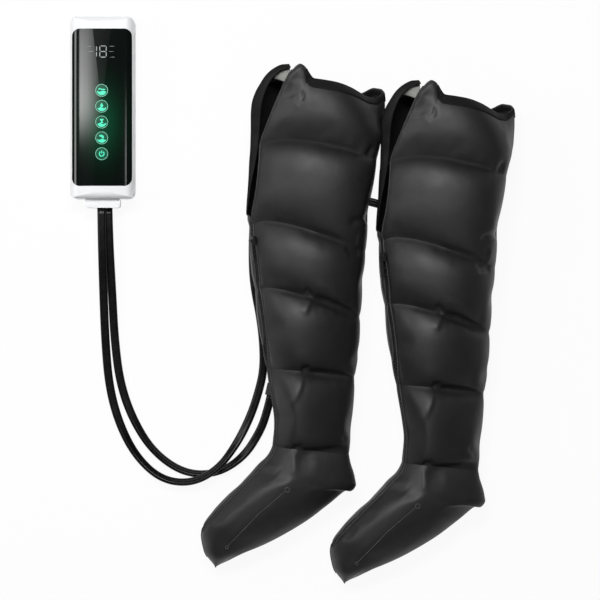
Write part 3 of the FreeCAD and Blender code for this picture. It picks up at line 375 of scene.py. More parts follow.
def outward(made):
    """Turns a closed piece's faces outwards."""
    shape = bmesh.new()
    shape.from_mesh(made.data)
    bmesh.ops.recalc_face_normals(shape, faces=shape.faces)
    shape.to_mesh(made.data)
    shape.free()


def tube_faces(count, around):
    """The faces of a closed tube of rings."""
    faces = [(r * around + c, (r + 1) * around + c, (r + 1) * around + (c + 1) % around, r * around + (c + 1) % around)
             for r in range(count - 1) for c in range(around)]
    return faces + [tuple(range(around)), tuple(range((count - 1) * around, count * around))]


def put(made, replaces=(), body="boots"):
    """Puts a piece on a body and the nodes that it stands for."""
    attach(made, body)
    if replaces:
        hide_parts(*replaces)


def tube(name, rings, material, replaces=()):
    """A closed tube of rings on the boots' body."""
    made = add_object(name, rings.reshape(-1, 3), tube_faces(*rings.shape[:2]), material)
    outward(made)
    put(made, replaces)
    return made


FLOOR = ((-20, -20, 0), (20, -20, 0), (20, 20, 0), (-20, 20, 0))
floor = add_object("floor", FLOOR, [(0, 1, 2, 3)], floor_finish())


# ------------ hoses

# The routes of part.py, from the plug to the inlets.
LEFT_ROUTE = (
    (-0.3303, 0.1676, 0.0215), (-0.3289, 0.1089, 0.0205), (-0.3242, 0.0189, 0.0120), (-0.3199, -0.0711, 0.0055),
    (-0.3101, -0.1503, 0.0048), (-0.2867, -0.2169, 0.0048), (-0.2489, -0.2763, 0.0048), (-0.1931, -0.3150, 0.0048),
    (-0.1337, -0.3159, 0.0048), (-0.0851, -0.2853, 0.0048), (-0.0545, -0.2376, 0.0048), (-0.0419, -0.2007, 0.0048),
    (-0.0356, -0.1731, 0.0048),
)
RIGHT_ROUTE = (
    (-0.3418, 0.1676, 0.0320), (-0.3411, 0.1089, 0.0310), (-0.3393, 0.0189, 0.0200), (-0.3368, -0.0711, 0.0075),
    (-0.3299, -0.1575, 0.0048), (-0.3110, -0.2260, 0.0048), (-0.2800, -0.2850, 0.0070), (-0.2340, -0.3260, 0.0140),
    (-0.1790, -0.3320, 0.0215), (-0.1310, -0.3060, 0.0215), (-0.0970, -0.2600, 0.0130), (-0.0734, -0.2130, 0.0065),
    (-0.0581, -0.1680, 0.0048), (-0.0482, -0.1251, 0.0048), (-0.0491, -0.0747, 0.0048), (-0.0554, -0.0260, 0.0048),
    (-0.0635, 0.0140, 0.0048), (-0.0675, 0.0470, 0.0048), (-0.0686, 0.0800, 0.0048), (-0.0682, 0.1120, 0.0048),
    (-0.0663, 0.1440, 0.0048), (-0.0536, 0.1751, 0.0048), (-0.0287, 0.1968, 0.0048), (0.0029, 0.2062, 0.0048),
    (0.0425, 0.2022, 0.0048), (0.0858, 0.1940, 0.0048), (0.1288, 0.1840, 0.0048), (0.1637, 0.1747, 0.0048),
)
HOSE_WIDTH, HOSE_HEIGHT = 15.5 * MM, 9 * MM
FLOOR_GAP = 0.3 * MM


def spline_points(route):
    """Points read from the NURBS spline that has the route as its control points."""
    curve = bpy.data.curves.new("line", "CURVE")
    curve.dimensions = "3D"
    curve.resolution_u = 10
    spline = curve.splines.new("NURBS")
    spline.points.add(len(route) - 1)
    for point, place in zip(spline.points, route):
        point.co = (*place, 1)
    spline.order_u = 3
    spline.use_endpoint_u = True
    holder = bpy.data.objects.new("line", curve)
    scene.collection.objects.link(holder)
    bpy.context.view_layer.update()
    mesh = bpy.data.meshes.new_from_object(holder)
    points = np.array([tuple(v.co) for v in mesh.vertices])
    bpy.data.objects.remove(holder)
    bpy.data.curves.remove(curve)
    bpy.data.meshes.remove(mesh)
    return points


def hose_section(count=40):
    """A flat twin hose: a rounded band with a shallow groove along its middle."""
    round_part = HOSE_HEIGHT / 2
    reach = HOSE_WIDTH / 2 - round_part
    section = []
    for i in range(count):
        turn = 2 * math.pi * (i + 0.5) / count
        across = round_part * math.cos(turn) + reach * max(-1, min(1, 1.7 * math.cos(turn)))
        up = round_part * math.sin(turn)
        up *= 1 - 0.17 * math.exp(-(across / (1.1 * MM)) ** 2)
        section.append((across, up))
    return np.array(section)


def hose(name, route, rolls):
    """One hose along its route, rolled about its line by rows (millimetres from the plug, degrees)."""
    points = spline_points(route)
    roll = np.radians(along(rolls, run_along(points) / MM)[:, 0])
    lowest = np.abs(np.sin(roll)) * (HOSE_WIDTH - HOSE_HEIGHT) / 2 + HOSE_HEIGHT / 2 + FLOOR_GAP
    points[:, 2] = np.maximum(points[:, 2], lowest)
    heading = unit(np.gradient(points, axis=0))
    side = unit(np.cross(heading, (0, 0, 1)))
    up = np.cross(side, heading)
    section = hose_section()
    wide = side * np.cos(roll)[:, None] + up * np.sin(roll)[:, None]
    tall = up * np.cos(roll)[:, None] - side * np.sin(roll)[:, None]
    rings = points[:, None] + wide[:, None] * section[None, :, :1] + tall[:, None] * section[None, :, 1:]
    made = tube(name, rings, HOSE, (name.replace("_tube", ""),))


hose("left_hose_tube", LEFT_ROUTE, ((0, 0), (320, 0), (470, 50), (600, 50), (690, 0), (800, 0)))
hose("right_hose_tube", RIGHT_ROUTE, ((0, 0), (330, 0), (500, 50), (640, 50), (745, 0), (1400, 0)))


# ------------ boot skin

# Rows (place along the boot, pixel x, pixel y): 0 is the rim, 1 to 5 the welds, 13 the toe. The free loop ends
# at 1.85, and the zip runs from 1.9 to 10.8.
WELDS = (1, 2, 3, 4, 5)
ANKLE, TOE, LOOP_END, ZIP_START, ZIP_END, TOE_CLOSED = 5, 13, 1.85, 1.9, 10.8, 11
FRONT = (
    (0, 259, 97), (0.5, 253, 125), (1, 250, 147), (1.5, 249, 180), (1.85, 246.3, 215), (2, 247.5, 226),
    (2.5, 250, 261), (3, 253.5, 289), (3.5, 258, 328), (4, 265, 368.5), (4.5, 272, 404), (4.7, 273.6, 419),
    (5, 270.5, 446), (6, 256, 465.5), (7, 241.3, 482), (8, 226.7, 496.7), (9, 213.5, 511.4), (10, 203.2, 526),
    (11, 201, 536.3), (12, 204, 553), (13, 214.2, 568.9),
)
BACK = (
    (0, 385, 93), (0.5, 384, 128), (1, 378.3, 160), (1.5, 372, 205), (2, 367, 252), (2.5, 364, 285),
    (3, 361.5, 317), (3.5, 359.5, 350), (4, 356.3, 377), (4.5, 353.6, 416), (5, 351, 455), (5.5, 355.5, 475),
    (6, 357, 486), (6.3, 352, 492), (7, 348, 492), (8, 329.4, 505.5), (9, 307.4, 521.6), (10, 285.3, 534.8),
    (11, 263.3, 546.6), (12, 234, 559.8), (13, 216, 568.5),
)
# Depth in millimetres.
DEPTH = (
    (0, 136), (1, 138), (2, 132), (3, 126), (4, 114), (4.5, 109), (5, 104), (5.7, 102), (7, 99), (8, 95), (9, 89),
    (10, 81), (11, 71), (12, 57), (13, 32),
)
# The near panel's zip edge above the second weld, and from there on its distance in pixels from the front.
NEAR_EDGE = (
    (0, 295.5, 69), (0.1, 289.6, 76), (0.2, 284.4, 85.7), (0.35, 278.4, 99.4), (0.55, 271.8, 115), (0.75, 266, 129.6),
    (0.9, 262, 140.2), (1, 260.5, 147), (1.2, 259.8, 160), (1.45, 258, 180), (1.7, 255.5, 198), (1.85, 253, 210),
    (2, 251.4, 225),
)
NEAR_INSET = (
    (2, 3.9), (2.5, 5.2), (3, 5.0), (3.5, 5.2), (4, 3.6), (4.3, 3.6), (4.6, 3.6), (5, 4.5), (6, 6), (8, 6), (9, 5),
    (10, 3.6), (10.5, 1.8), (10.9, 0.12), (13, 0.12),
)
NEAR_LIP = (
    (295.5, 69), (299.8, 66.7), (304.6, 69), (309, 75.5), (313.4, 80.8), (322, 82.2), (336, 84.6), (349, 89),
    (360.4, 95), (365, 97.5), (374, 99), (384, 92.5),
)
FAR_LIP = (
    (385.5, 90), (380, 88.5), (373, 87), (366, 90), (350, 95), (330, 93), (310, 88), (295, 83), (283, 79.5),
    (274, 77), (268, 80), (262, 90),
)
# How far the welds bow towards the rim on the top side, in pixels.
BOW = ((0, 0), (1, 10.5), (2, 10), (3, 6.5), (4, 1), (5, 0), (6, 0), (13, 0))
# How far the crest of the top side leans towards the front.
LEAN = ((0, -0.7), (1, -0.7), (2, -0.35), (3, 0.2), (4, 1.1), (5, 1.5), (7, 1.4), (9, 1.0), (11, 0.5), (13, 0))
# The first chamber is fullest near the rim.
RIM_SKEW = 0.7
RIM_CREST = 0.5 ** (1 / RIM_SKEW)
# How deep the rim and the welds are drawn in, and how far the welds are drawn in at the sides.
RIM_PINCH, WELD_PINCH, WELD_INSET = 12 * MM, 20 * MM, 3 * MM
# The zip's width, and the far edge's distance from the front below the zip and beside the open top.
ZIP_WIDTH, EDGE_GAP, OPEN_GAP = 2.6 * PIXEL, 0.1 * MM, 0.3 * MM
# How far the flap at the zip's upper end stands up, and how far the rim dips under the hem.
FLAP_RISE, RIM_DIP = 18, 4
TOP_COLUMNS, LOW_COLUMNS = 64, 32
ROWS = np.concatenate((np.linspace(0, ANKLE, 96), np.linspace(ANKLE, TOE, 49)[1:]))


def smooth_plan(pixels):
    """A smooth line on the floor plan through pixels of the photograph."""
    pixels = np.array(pixels, float)
    places = run_along(pixels)
    return along(np.column_stack((places, spot(*pixels.T).T)), np.linspace(0, places[-1], 400))


def bulge(v):
    """0 on a weld, 1 at the fullest part of a chamber."""
    q = np.where(v < ANKLE, v - np.floor(v), np.minimum((v - ANKLE) / (TOE - ANKLE), 0.5))
    q = np.where(v < 1, q ** RIM_SKEW, q)
    return 1 - np.abs(2 * q - 1) ** 2.6


def loop_points(width, depth):
    """The outline (across, up) of a boot's section from the front over the top and back to the front."""
    half = width / 2
    low = min(0.42 * depth, 0.95 * half)
    rise = depth - low

    def arc(x, z, radius, first, last, count, height=None):
        turn = np.linspace(first, last, count)
        return np.column_stack((x + radius * np.cos(turn), z + (height or radius) * np.sin(turn)))

    if rise >= half:
        top = arc(half, low, half, math.pi, 0, 198, rise)
    else:
        corner = 0.75 * rise
        crown = (half ** 2 - 2 * half * corner + rise ** 2) / (2 * (rise - corner))
        start = math.atan2(crown - rise, corner - half)
        top = np.vstack((
            arc(corner, low, corner, math.pi, start, 60),
            arc(half, depth - crown, crown, start, math.pi - start, 80)[1:],
            arc(width - corner, low, corner, math.pi - start, 0, 60)[1:],
        ))
    bottom = np.vstack((
        arc(width - low, low, low, 0, -math.pi / 2, 40),
        arc(low, low, low, -math.pi / 2, -math.pi, 40),
    ))
    return top, bottom


def skin_points():
    """The near edge, over the top, back and bottom, to the far edge, for every row."""
    front, back, near_plan = (spot(*along(table, ROWS).T).T for table in (FRONT, BACK, NEAR_EDGE))
    depth, inset, bow, lean = (along(table, ROWS)[:, 0] * size for table, size in (
        (DEPTH, MM), (NEAR_INSET, PIXEL), (BOW, PIXEL), (LEAN, 1)))
    lips = np.vstack((even(smooth_plan(NEAR_LIP), TOP_COLUMNS), even(smooth_plan(FAR_LIP), LOW_COLUMNS + 1)[1:]))
    t_top = np.linspace(0, 1, TOP_COLUMNS)
    grid = np.zeros((len(ROWS), TOP_COLUMNS + LOW_COLUMNS, 3))
    rim = None
    for r, v in enumerate(ROWS):
        across = back[r] - front[r]
        width = np.linalg.norm(across)
        across = across / width
        up_leg = np.array((-across[1], across[0]))
        pinch = 1 - bulge(np.array(v))
        top, bottom = loop_points(width, depth[r])
        near = np.dot(near_plan[r] - front[r], across) if v < 2 else inset[r]
        near = min(max(near, 0.2 * MM), 0.4 * width)
        far = max(near - ZIP_WIDTH, EDGE_GAP) if v < TOE_CLOSED else EDGE_GAP
        if v < LOOP_END:
            far = OPEN_GAP
        rising = top[: len(top) // 3]
        first = np.searchsorted(top[:, 0], near)
        start = np.array((near, np.interp(near, rising[:, 0], rising[:, 1])))
        stop = np.array((far, np.interp(far, rising[:, 0], rising[:, 1])))
        over = even(np.vstack((start, top[first:])), TOP_COLUMNS)
        t = over[:, 0] / width
        over[:, 0] = width * (t - lean[r] * t * t * (1 - t))
        last = np.searchsorted(rising[:, 0], far)
        under = even(np.vstack((bottom, rising[1:last], stop)), LOW_COLUMNS + 1)[1:]
        section = np.vstack((over, under))
        height = section[:, 1] / depth[r]
        reach = WELD_INSET * pinch
        s = reach + section[:, 0] * (width - 2 * reach) / width
        pinch *= RIM_PINCH if v < RIM_CREST else WELD_PINCH
        z = pinch + section[:, 1] * (depth[r] - 2 * pinch) / depth[r]
        share = section[:, 0] / width
        lift = bow[r] * np.sin(np.pi * np.clip(share, 0, 1) ** 0.58) * smooth_step((height - 0.3) / 0.5)
        plan = front[r] + s[:, None] * across + lift[:, None] * up_leg
        if v == 0:
            rim = lips - plan
        fade = max(0, 1 - v) ** 1.6
        offset = rim * fade
        if v < 2:
            miss = near_plan[r] - plan[0] - offset[0]
            offset[:TOP_COLUMNS] += miss * np.clip(1 - t_top / 0.4, 0, 1)[:, None] ** 2
        grid[r, :, :2] = plan + offset
        grid[r, :, 2] = z
        dip = max(0, 1 - v / 0.35) ** 2 * smooth_step((t_top - 0.12) / 0.15) * smooth_step((1 - t_top) / 0.15)
        stand = max(0, 1 - v / 0.3) * np.clip(1 - t_top / 0.19, 0, 1)
        grid[r, :TOP_COLUMNS, 2] += (FLAP_RISE * stand - RIM_DIP * dip) * MM
    return grid


def grid_faces(rows, columns):
    return [(r * columns + c, (r + 1) * columns + c, (r + 1) * columns + c + 1, r * columns + c + 1)
            for r in range(rows - 1) for c in range(columns - 1)]


# The frames of the simulation, the share of its movement that is kept and the most that it may be, and the
# columns that rest on the floor.
SWELL_FRAMES, SWELL_SHARE, SWELL_CAP = 20, 0.7, 12 * MM
RESTING = slice(TOP_COLUMNS + 6, TOP_COLUMNS + 22)


def settle(grid):
    """Lets the chambers swell as cloth between the welds, the rim and the zip."""
    rows, columns = grid.shape[:2]
    made = add_object("swell", grid.reshape(-1, 3), grid_faces(rows, columns), BOOT)
    pins = made.vertex_groups.new(name="pins")
    index = np.arange(rows * columns).reshape(rows, columns)
    on_weld = np.isin(np.round(ROWS, 6), (0, *WELDS)) | (ROWS > TOE - 0.5)
    held = np.zeros((rows, columns), bool)
    held[on_weld] = True
    held[:, 0] = held[:, -1] = True
    held[:, RESTING] = True
    pins.add([int(i) for i in index[held]], 1.0, "REPLACE")
    cloth = made.modifiers.new("swell", "CLOTH")
    settings = cloth.settings
    settings.quality = 6
    settings.mass = 0.3
    settings.tension_stiffness = settings.compression_stiffness = 20
    settings.shear_stiffness = 10
    settings.bending_stiffness = 15
    settings.use_pressure = True
    settings.uniform_pressure_force = 2.5
    settings.shrink_min = -0.012
    settings.vertex_group_mass = "pins"
    settings.effector_weights.gravity = 0
    cloth.collision_settings.use_collision = False
    cloth.point_cache.frame_start, cloth.point_cache.frame_end = 1, SWELL_FRAMES
    for number in range(1, SWELL_FRAMES + 1):
        scene.frame_set(number)
    shape = made.evaluated_get(bpy.context.evaluated_depsgraph_get()).to_mesh()
    moved = np.array([tuple(v.co) for v in shape.vertices]).reshape(grid.shape) - grid
    scene.frame_set(1)
    mesh = made.data
    bpy.data.objects.remove(made)
    bpy.data.meshes.remove(mesh)
    # The movement is smoothed, and it fades out at the rim.
    for _ in range(3):
        for axis in (0, 1):
            moved = np.moveaxis(moved, axis, 0)
            moved[1:-1] = (moved[:-2] + 2 * moved[1:-1] + moved[2:]) / 4
            moved = np.moveaxis(moved, 0, axis)
    size = np.linalg.norm(moved, axis=2, keepdims=True)
    fade = smooth_step(ROWS / 0.4)[:, None, None]
    return grid + SWELL_SHARE * moved * SWELL_CAP / np.maximum(size, SWELL_CAP) * fade


# The room over a hose under a boot: its height, how far it reaches at that height, and the slope beside it.
BED_HEIGHT, BED_REACH, BED_SLOPE = 11.5 * MM, 9 * MM, 16 * MM


def bedded(grid):
    """Leaves room under the boot for the hoses that end or pass there, on either boot."""
    crossing = spline_points(RIGHT_ROUTE)[:, :2]
    paths = np.vstack((crossing, spline_points(LEFT_ROUTE)[-30:, :2], crossing[-30:] - PAIR_STEP[:2]))
    for r, c in np.argwhere(grid[:, :, 2] < 20 * MM):
        away = np.sqrt(((paths - grid[r, c, :2]) ** 2).sum(axis=1)).min()
        bed = max(BED_HEIGHT * smooth_step(1 - (away - BED_REACH) / BED_SLOPE), FLOOR_GAP)
        grid[r, c, 2] = max(grid[r, c, 2], bed)
    return grid


# The left slider's middle at rest, the way it slides and its pin's direction.
SLIDER = np.array((-68.06, 107.22, 86.29)) * MM
SLIDE_AXIS = np.array((0.11799, -0.99190, -0.04715))
PIN_AXIS = np.array((-0.57370, -0.02934, -0.81854))
SLIDE_REACH = 210 * MM
# The groove's depth under the slider's middle, half its width, and how far it goes on past the slider's ends.
GROOVE_DEPTH, GROOVE_HALF, GROOVE_PAST = 6.1 * MM, 6.5 * MM, 12 * MM


def slider_room(grid):
    """Leaves a shallow groove along the zip for the slider."""
    out = np.cross(PIN_AXIS, SLIDE_AXIS)
    run, across, height = ((grid - SLIDER) @ axis for axis in (SLIDE_AXIS, PIN_AXIS, out))
    across = np.abs(across)
    beyond = np.maximum(np.abs(run - SLIDE_REACH / 2) - SLIDE_REACH / 2 - GROOVE_PAST, 0)
    limit = -GROOVE_DEPTH + 0.9 * np.maximum(across - GROOVE_HALF, 0) + 0.5 * beyond
    deep = np.where((across < 20 * MM) & (beyond < 15 * MM), np.minimum(limit - height, 0), 0)
    return grid + deep[:, :, None] * out


def finer(grid):
    """A grid with twice the rows and columns, on smooth curves through its points."""
    for axis in (0, 1):
        grid = np.moveaxis(grid, axis, 0)
        wide = np.concatenate((2 * grid[:1] - grid[1:2], grid, 2 * grid[-1:] - grid[-2:-1]))
        middle = (9 * (wide[1:-2] + wide[2:-1]) - wide[:-3] - wide[3:]) / 16
        full = np.empty((2 * len(grid) - 1, *grid.shape[1:]))
        full[::2], full[1::2] = grid, middle
        grid = np.moveaxis(full, 0, axis)
    return grid


def grid_normals(grid):
    return unit(np.cross(np.gradient(grid, axis=0), np.gradient(grid, axis=1)))


# Folds: the line's pixels, its reach in pixels to the left and to the right of the line's direction, and
# its height in millimetres, down where negative.
FOLDS = (
    # first weld
    (((373, 147), (366, 158)), 3.45, 2.3, -3.6), (((366, 158), (345, 151), (318, 146)), 2.88, 5.75, -1.8),
    # second weld
    (((372, 216), (361, 221), (348, 224)), 2.53, 4.02, -4.2),
    (((344, 249), (352, 251.5), (361, 252)), 2.53, 1.84, -3),
    (((347, 256), (360, 255)), 2.07, 1.61, -2.4), (((360, 232), (357, 248)), 2.88, 2.07, 1.8),
    (((345, 243), (325, 236), (300, 231)), 4.6, 2.88, -1.8),
    # third weld
    (((305, 288.5), (313, 297)), 2.07, 2.99, -3.6), (((311.5, 297), (304, 315)), 2.99, 5.75, 2.1),
    (((312, 296), (336, 306), (362, 318)), 3.68, 6.9, -4.8), (((318, 305), (338, 312)), 1.72, 3.45, 1.8),
    (((280, 290), (305, 294)), 2.88, 3.45, -1.5),
    # fourth weld
    (((301.5, 372), (304.5, 367.5), (311, 367)), 1.61, 2.53, -3.3),
    (((302, 373), (301, 383), (289, 409)), 2.99, 5.75, 1.8),
    (((303, 371), (330, 373.5), (358, 379)), 2.99, 6.9, -4.8),
    # fifth weld
    (((292.5, 450), (295.5, 446), (304, 445.5)), 1.61, 2.53, -3.3),
    (((293.5, 450), (294, 462), (293, 475)), 4.6, 2.3, 1.5),
    (((294, 454), (320, 451), (352, 447)), 3.45, 6.9, -4.8), (((338, 430), (347, 441)), 2.88, 2.07, -1.8),
    # rim
    (((278, 106), (290, 102), (303, 97.5)), 2.53, 1.84, 0.96), (((303, 94), (302.4, 104)), 1.61, 2.3, -2.1),
    (((291, 101), (299, 111)), 2.53, 3.68, 0.78), (((291, 81), (309, 82)), 1.61, 2.88, -0.9),
)


def folds(grid):
    """The tucks and pleats that the photograph shows at the welds and the rim, on the top side."""
    normal = grid_normals(grid)
    columns = 2 * TOP_COLUMNS
    plan = grid[:, :columns, :2].reshape(-1, 2)
    raised = np.zeros(len(plan))
    for pixels, left, right, height in FOLDS:
        line = even(smooth_plan(pixels), 24)
        steps = np.diff(line, axis=0)
        lengths = np.linalg.norm(steps, axis=1)
        nearest = np.full(len(plan), 1e9)
        signed = np.zeros(len(plan))
        place = np.zeros(len(plan))
        for i, (start, step, length) in enumerate(zip(line, steps, lengths)):
            away = plan - start
            q = np.clip(away @ step / length ** 2, 0, 1)
            distance = np.linalg.norm(away - q[:, None] * step, axis=1)
            closer = distance < nearest
            nearest[closer] = distance[closer]
            signed[closer] = (step[0] * away[closer, 1] - step[1] * away[closer, 0])
            place[closer] = (i + q[closer]) / len(steps)
        reach = np.where(signed > 0, left, right) * PIXEL
        taper = smooth_step(np.minimum(place, 1 - place) / 0.3 + 0.15)
        raised += height * MM * taper * np.exp(-(nearest / reach) ** 2)
    grid = grid.copy()
    shaped = grid[:, :columns].reshape(-1, 3) + raised[:, None] * normal[:, :columns].reshape(-1, 3)
    grid[:, :columns] = shaped.reshape(len(grid), columns, 3)
    return grid


skin = skin_points()
skin = settle(skin)
skin = slider_room(bedded(folds(finer(skin))))


def boot_piece(name, points, faces, material, slot, replaces=(), padded=None, thickness=0.0):
    """The same piece on both boots."""
    left = add_object("left_" + name, points, faces, material)
    right = bpy.data.objects.new("right_" + name, left.data)
    scene.collection.objects.link(right)
    right.location = PAIR_STEP
    for made, side in ((left, "left_"), (right, "right_")):
        if thickness:
            solid = made.modifiers.new("thickness", "SOLIDIFY")
            solid.thickness, solid.offset = thickness, -1
        put(made, [side + part for part in replaces])
    return left


SKIN_THICKNESS, SKIN_FILL = 1.6 * MM, 0.6
rows, columns = skin.shape[:2]
toe_cap = [tuple(range((rows - 1) * columns, rows * columns))]
left_skin = boot_piece("skin", skin.reshape(-1, 3), grid_faces(rows, columns) + toe_cap, BOOT, "boot_fabric",
                       [f"chamber_{i}" for i in range(1, 6)] + ["foot_chamber"], SKIN_FILL, SKIN_THICKNESS)
# Each weld is a sharp valley.
weld_rows = 2 * np.flatnonzero(np.isin(np.round(ROWS, 6), WELDS))
for edge in left_skin.data.edges:
    first_row, second_row = (i // columns for i in edge.vertices)
    edge.use_edge_sharp = first_row == second_row and first_row in weld_rows


# ------------ hems, bindings and zip

def strip(first, second, thickness, normals):
    """A flat band between two lines, rounded at its edges."""
    middle = (first + second) / 2
    rings = []
    for turn in np.linspace(0, 2 * math.pi, 12, endpoint=False):
        wide = math.copysign(abs(math.cos(turn)) ** 0.4, math.cos(turn))
        rings.append(middle + (first - middle) * wide + normals * (thickness / 2 * math.sin(turn)))
    return np.stack(rings, axis=1)


def boot_tube(name, rings, material, slot, replaces=()):
    """A closed tube of rings on both boots."""
    faces = tube_faces(*rings.shape[:2])
    outward(boot_piece(name, rings.reshape(-1, 3), faces, material, slot, replaces))


def band(name, first, second, thickness, normals, material, slot="hem_fabric", replaces=()):
    boot_tube(name, strip(first, second, thickness, normals), material, slot, replaces)


def round_tube(line, radius, around=8):
    heading = unit(np.gradient(line, axis=0))
    side = unit(np.cross(heading, (0.31, 0.2, 0.93)))
    up = np.cross(side, heading)
    turn = np.linspace(0, 2 * math.pi, around, endpoint=False)
    return (line[:, None] + radius * (np.cos(turn)[None, :, None] * side[:, None]
                                      + np.sin(turn)[None, :, None] * up[:, None]))


normals = grid_normals(skin)
near_line, far_line = skin[:, 0], skin[:, -1]
fine_v = np.interp(np.linspace(0, len(ROWS) - 1, rows), np.arange(len(ROWS)), ROWS)

# The hem round the leg opening, on the near panel and on the far one.
HEM_THICKNESS, HEM_START_X = 2.6 * MM, 306.5
HEM_REACH = ((0, 0.02), (0.06, 0.13), (0.7, 0.125), (1, 0.08))
top_end = 2 * TOP_COLUMNS - 2
hem_start = int(np.searchsorted(skin[0, :top_end, 0], spot(HEM_START_X, 0)[0]))
hem_reach = along(HEM_REACH, np.linspace(0, 1, top_end - hem_start))[:, 0]
hem_rows = np.interp(hem_reach, fine_v, np.arange(len(fine_v)))


def at_rows(rows, first):
    """Points of the skin at broken rows, one in each column from the first on."""
    places = first + np.arange(len(rows))
    low = np.floor(rows).astype(int)
    share = (rows - low)[:, None]
    return skin[low, places] * (1 - share) + skin[low + 1, places] * share


top_out, low_out = normals[1, hem_start:top_end], normals[1, top_end:]
top_lift, low_lift = top_out * 0.8 * MM, low_out * 0.5 * MM
band("top_hem", skin[0, hem_start:top_end] + top_lift, at_rows(hem_rows, hem_start) + top_lift, HEM_THICKNESS,
     top_out, HEM, replaces=("cuff",))
band("low_hem", skin[0, top_end:] + low_lift, at_rows(np.full(columns - top_end, 5.0), top_end) + low_lift,
     HEM_THICKNESS, low_out, HEM)

# The far panel's free hem, a stiff loop beside the open zip.
LOOP_OUTER = (
    (246.5, 215), (248, 190), (249.5, 165), (250.5, 147), (250.9, 130), (250.8, 116), (251.6, 105), (254.8, 94),
    (259.9, 84.6), (266.6, 74.8), (274, 68.6), (282.5, 64.9), (289, 64.5),
)
LOOP_INNER = (
    (248.5, 205), (251, 187), (255.5, 165), (258.5, 147), (260, 130), (261, 114), (262.6, 103), (265.6, 92.8),
    (270, 83), (275.6, 76.2), (281.5, 71.4), (291, 68.5),
)
PATCH_UPPER = ((273.5, 78.5), (277, 74), (282.5, 70), (290, 68))
PATCH_LOWER = ((275.5, 79.2), (279.5, 80.2), (284, 82), (291, 84))
LOOP_COUNT, PATCH_COUNT = 90, 20
LOOP_OUT = (-0.25, 0, 0.97)


def smooth_line(pixels, heights, count):
    """A smooth line through pixels of the photograph, rising between two heights in millimetres."""
    return np.column_stack((even(smooth_plan(pixels), count), np.linspace(*np.array(heights) * MM, count)))


def joined(name, first, second, material):
    """A piece of fabric from one line to another, with as many points on either."""
    heading = np.gradient((first + second) / 2, axis=0)
    band(name, first, second, 1.4 * MM, unit(np.cross(heading, second - first)), material)


loop_outer = smooth_line(LOOP_OUTER, (68, 74), LOOP_COUNT)
loop_inner = smooth_line(LOOP_INNER, (72, 80), LOOP_COUNT)
band("loop_hem", loop_outer, loop_inner, 3.5 * MM, np.tile(LOOP_OUT, (LOOP_COUNT, 1)), HEM, replaces=("zip_hem",))

# The loop is sewn to the far panel's edge and rim. A light grey patch shows in its upper end.
rim_row = int(np.searchsorted(fine_v, LOOP_END))
rim_end = top_end + int(np.argmin(np.abs(skin[0, top_end:, 0] - spot(293, 0)[0])))
above = int(np.argmin(np.abs(loop_outer[:, 1] - far_line[0, 1])))
sewn = np.vstack((even(far_line[rim_row::-1], above), even(skin[0, :rim_end - 1:-1], LOOP_COUNT - above)))
# The facing joins the loop to the panel. It is in the darker hem fabric, which is painted shade for the inside of the
# boot seen between them.
joined("loop_facing_and_shade", loop_outer, sewn, HEM)
joined("loop_grey_patch", smooth_line(PATCH_UPPER, (70, 72), PATCH_COUNT), smooth_line(PATCH_LOWER, (67, 69), PATCH_COUNT),
       GREY_PATCH)

BINDING_RADIUS = 1.5 * MM
for name, line in (("near_binding", near_line[2:-8]), ("far_binding", far_line[2:-8])):
    line = line.copy()
    line[:, 2] = np.maximum(line[:, 2], BINDING_RADIUS + FLOOR_GAP)
    boot_tube(name, round_tube(line, BINDING_RADIUS), BINDING, "hem_fabric")

# The zip, below the open top: its tape, and a row of teeth that lean to either side in turn.
first, last = np.searchsorted(fine_v, (ZIP_START, ZIP_END))
near, far = near_line[first:last], far_line[first:last]
middle = (near + far) / 2
side = unit(near - far)
heading = unit(np.gradient(middle, axis=0))
out = np.cross(side, heading)
out *= np.sign((out * (0.3, 0, 1)).sum(axis=1))[:, None]
band("zip_tape", near - out * MM, far - out * MM, 1.2 * MM, out, TAPE, "zip_tape", ("zip_tapes",))

TOOTH_PITCH, TOOTH_END, TOOTH_LEAN, TOOTH_WIDE, TOOTH_LONG = 2.6 * MM, 2 * MM, 0.9 * MM, 1.9 * MM, 0.9 * MM
TOOTH_LAYERS = ((-0.4 * MM, 1), (0.9 * MM, 0.75))
TOOTH_FACES = ((0, 3, 2, 1), (4, 5, 6, 7), (0, 1, 5, 4), (1, 2, 6, 5), (2, 3, 7, 6), (3, 0, 4, 7))
teeth_points, teeth_faces = [], []
run = run_along(middle)
for number, at in enumerate(np.arange(TOOTH_END, run[-1] - TOOTH_END, TOOTH_PITCH)):
    place, s, h, o = (np.array([np.interp(at, run, a[:, i]) for i in range(3)]) for a in (middle, side, heading, out))
    lean = TOOTH_LEAN if number % 2 else -TOOTH_LEAN
    teeth_faces += [[len(teeth_points) + i for i in face] for face in TOOTH_FACES]
    for up, size in TOOTH_LAYERS:
        for a, b in ((-1, -1), (1, -1), (1, 1), (-1, 1)):
            teeth_points.append(place + s * (lean + a * TOOTH_WIDE * size) + h * (b * TOOTH_LONG * size) + o * up)
boot_piece("zip_coil", teeth_points, teeth_faces, TEETH, "zip_teeth", ("zip_teeth",))

# The welded line along the foot, with a ring at each end, draped on the skin.
WELD_PLACES = ((284.5, 490.5), (258, 513.5), (228.5, 545))
WELD_RINGS = (((287.3, 488.5), 2.3 * PIXEL), ((227, 547), 1.5 * PIXEL))
WELD_RADIUS, WELD_LIFT = 0.55 * MM, 0.1 * MM
# Rays are cast straight down from this height.
RAY_HEIGHT, DOWN = 0.5, Vector((0, 0, -1))
skin_tree = BVHTree.FromPolygons([tuple(p) for p in skin.reshape(-1, 3)], grid_faces(rows, columns))


def on_skin(place):
    hit, normal, _, _ = skin_tree.ray_cast(Vector((*place, RAY_HEIGHT)), DOWN)
    return np.array(hit) + np.array(normal) * WELD_LIFT


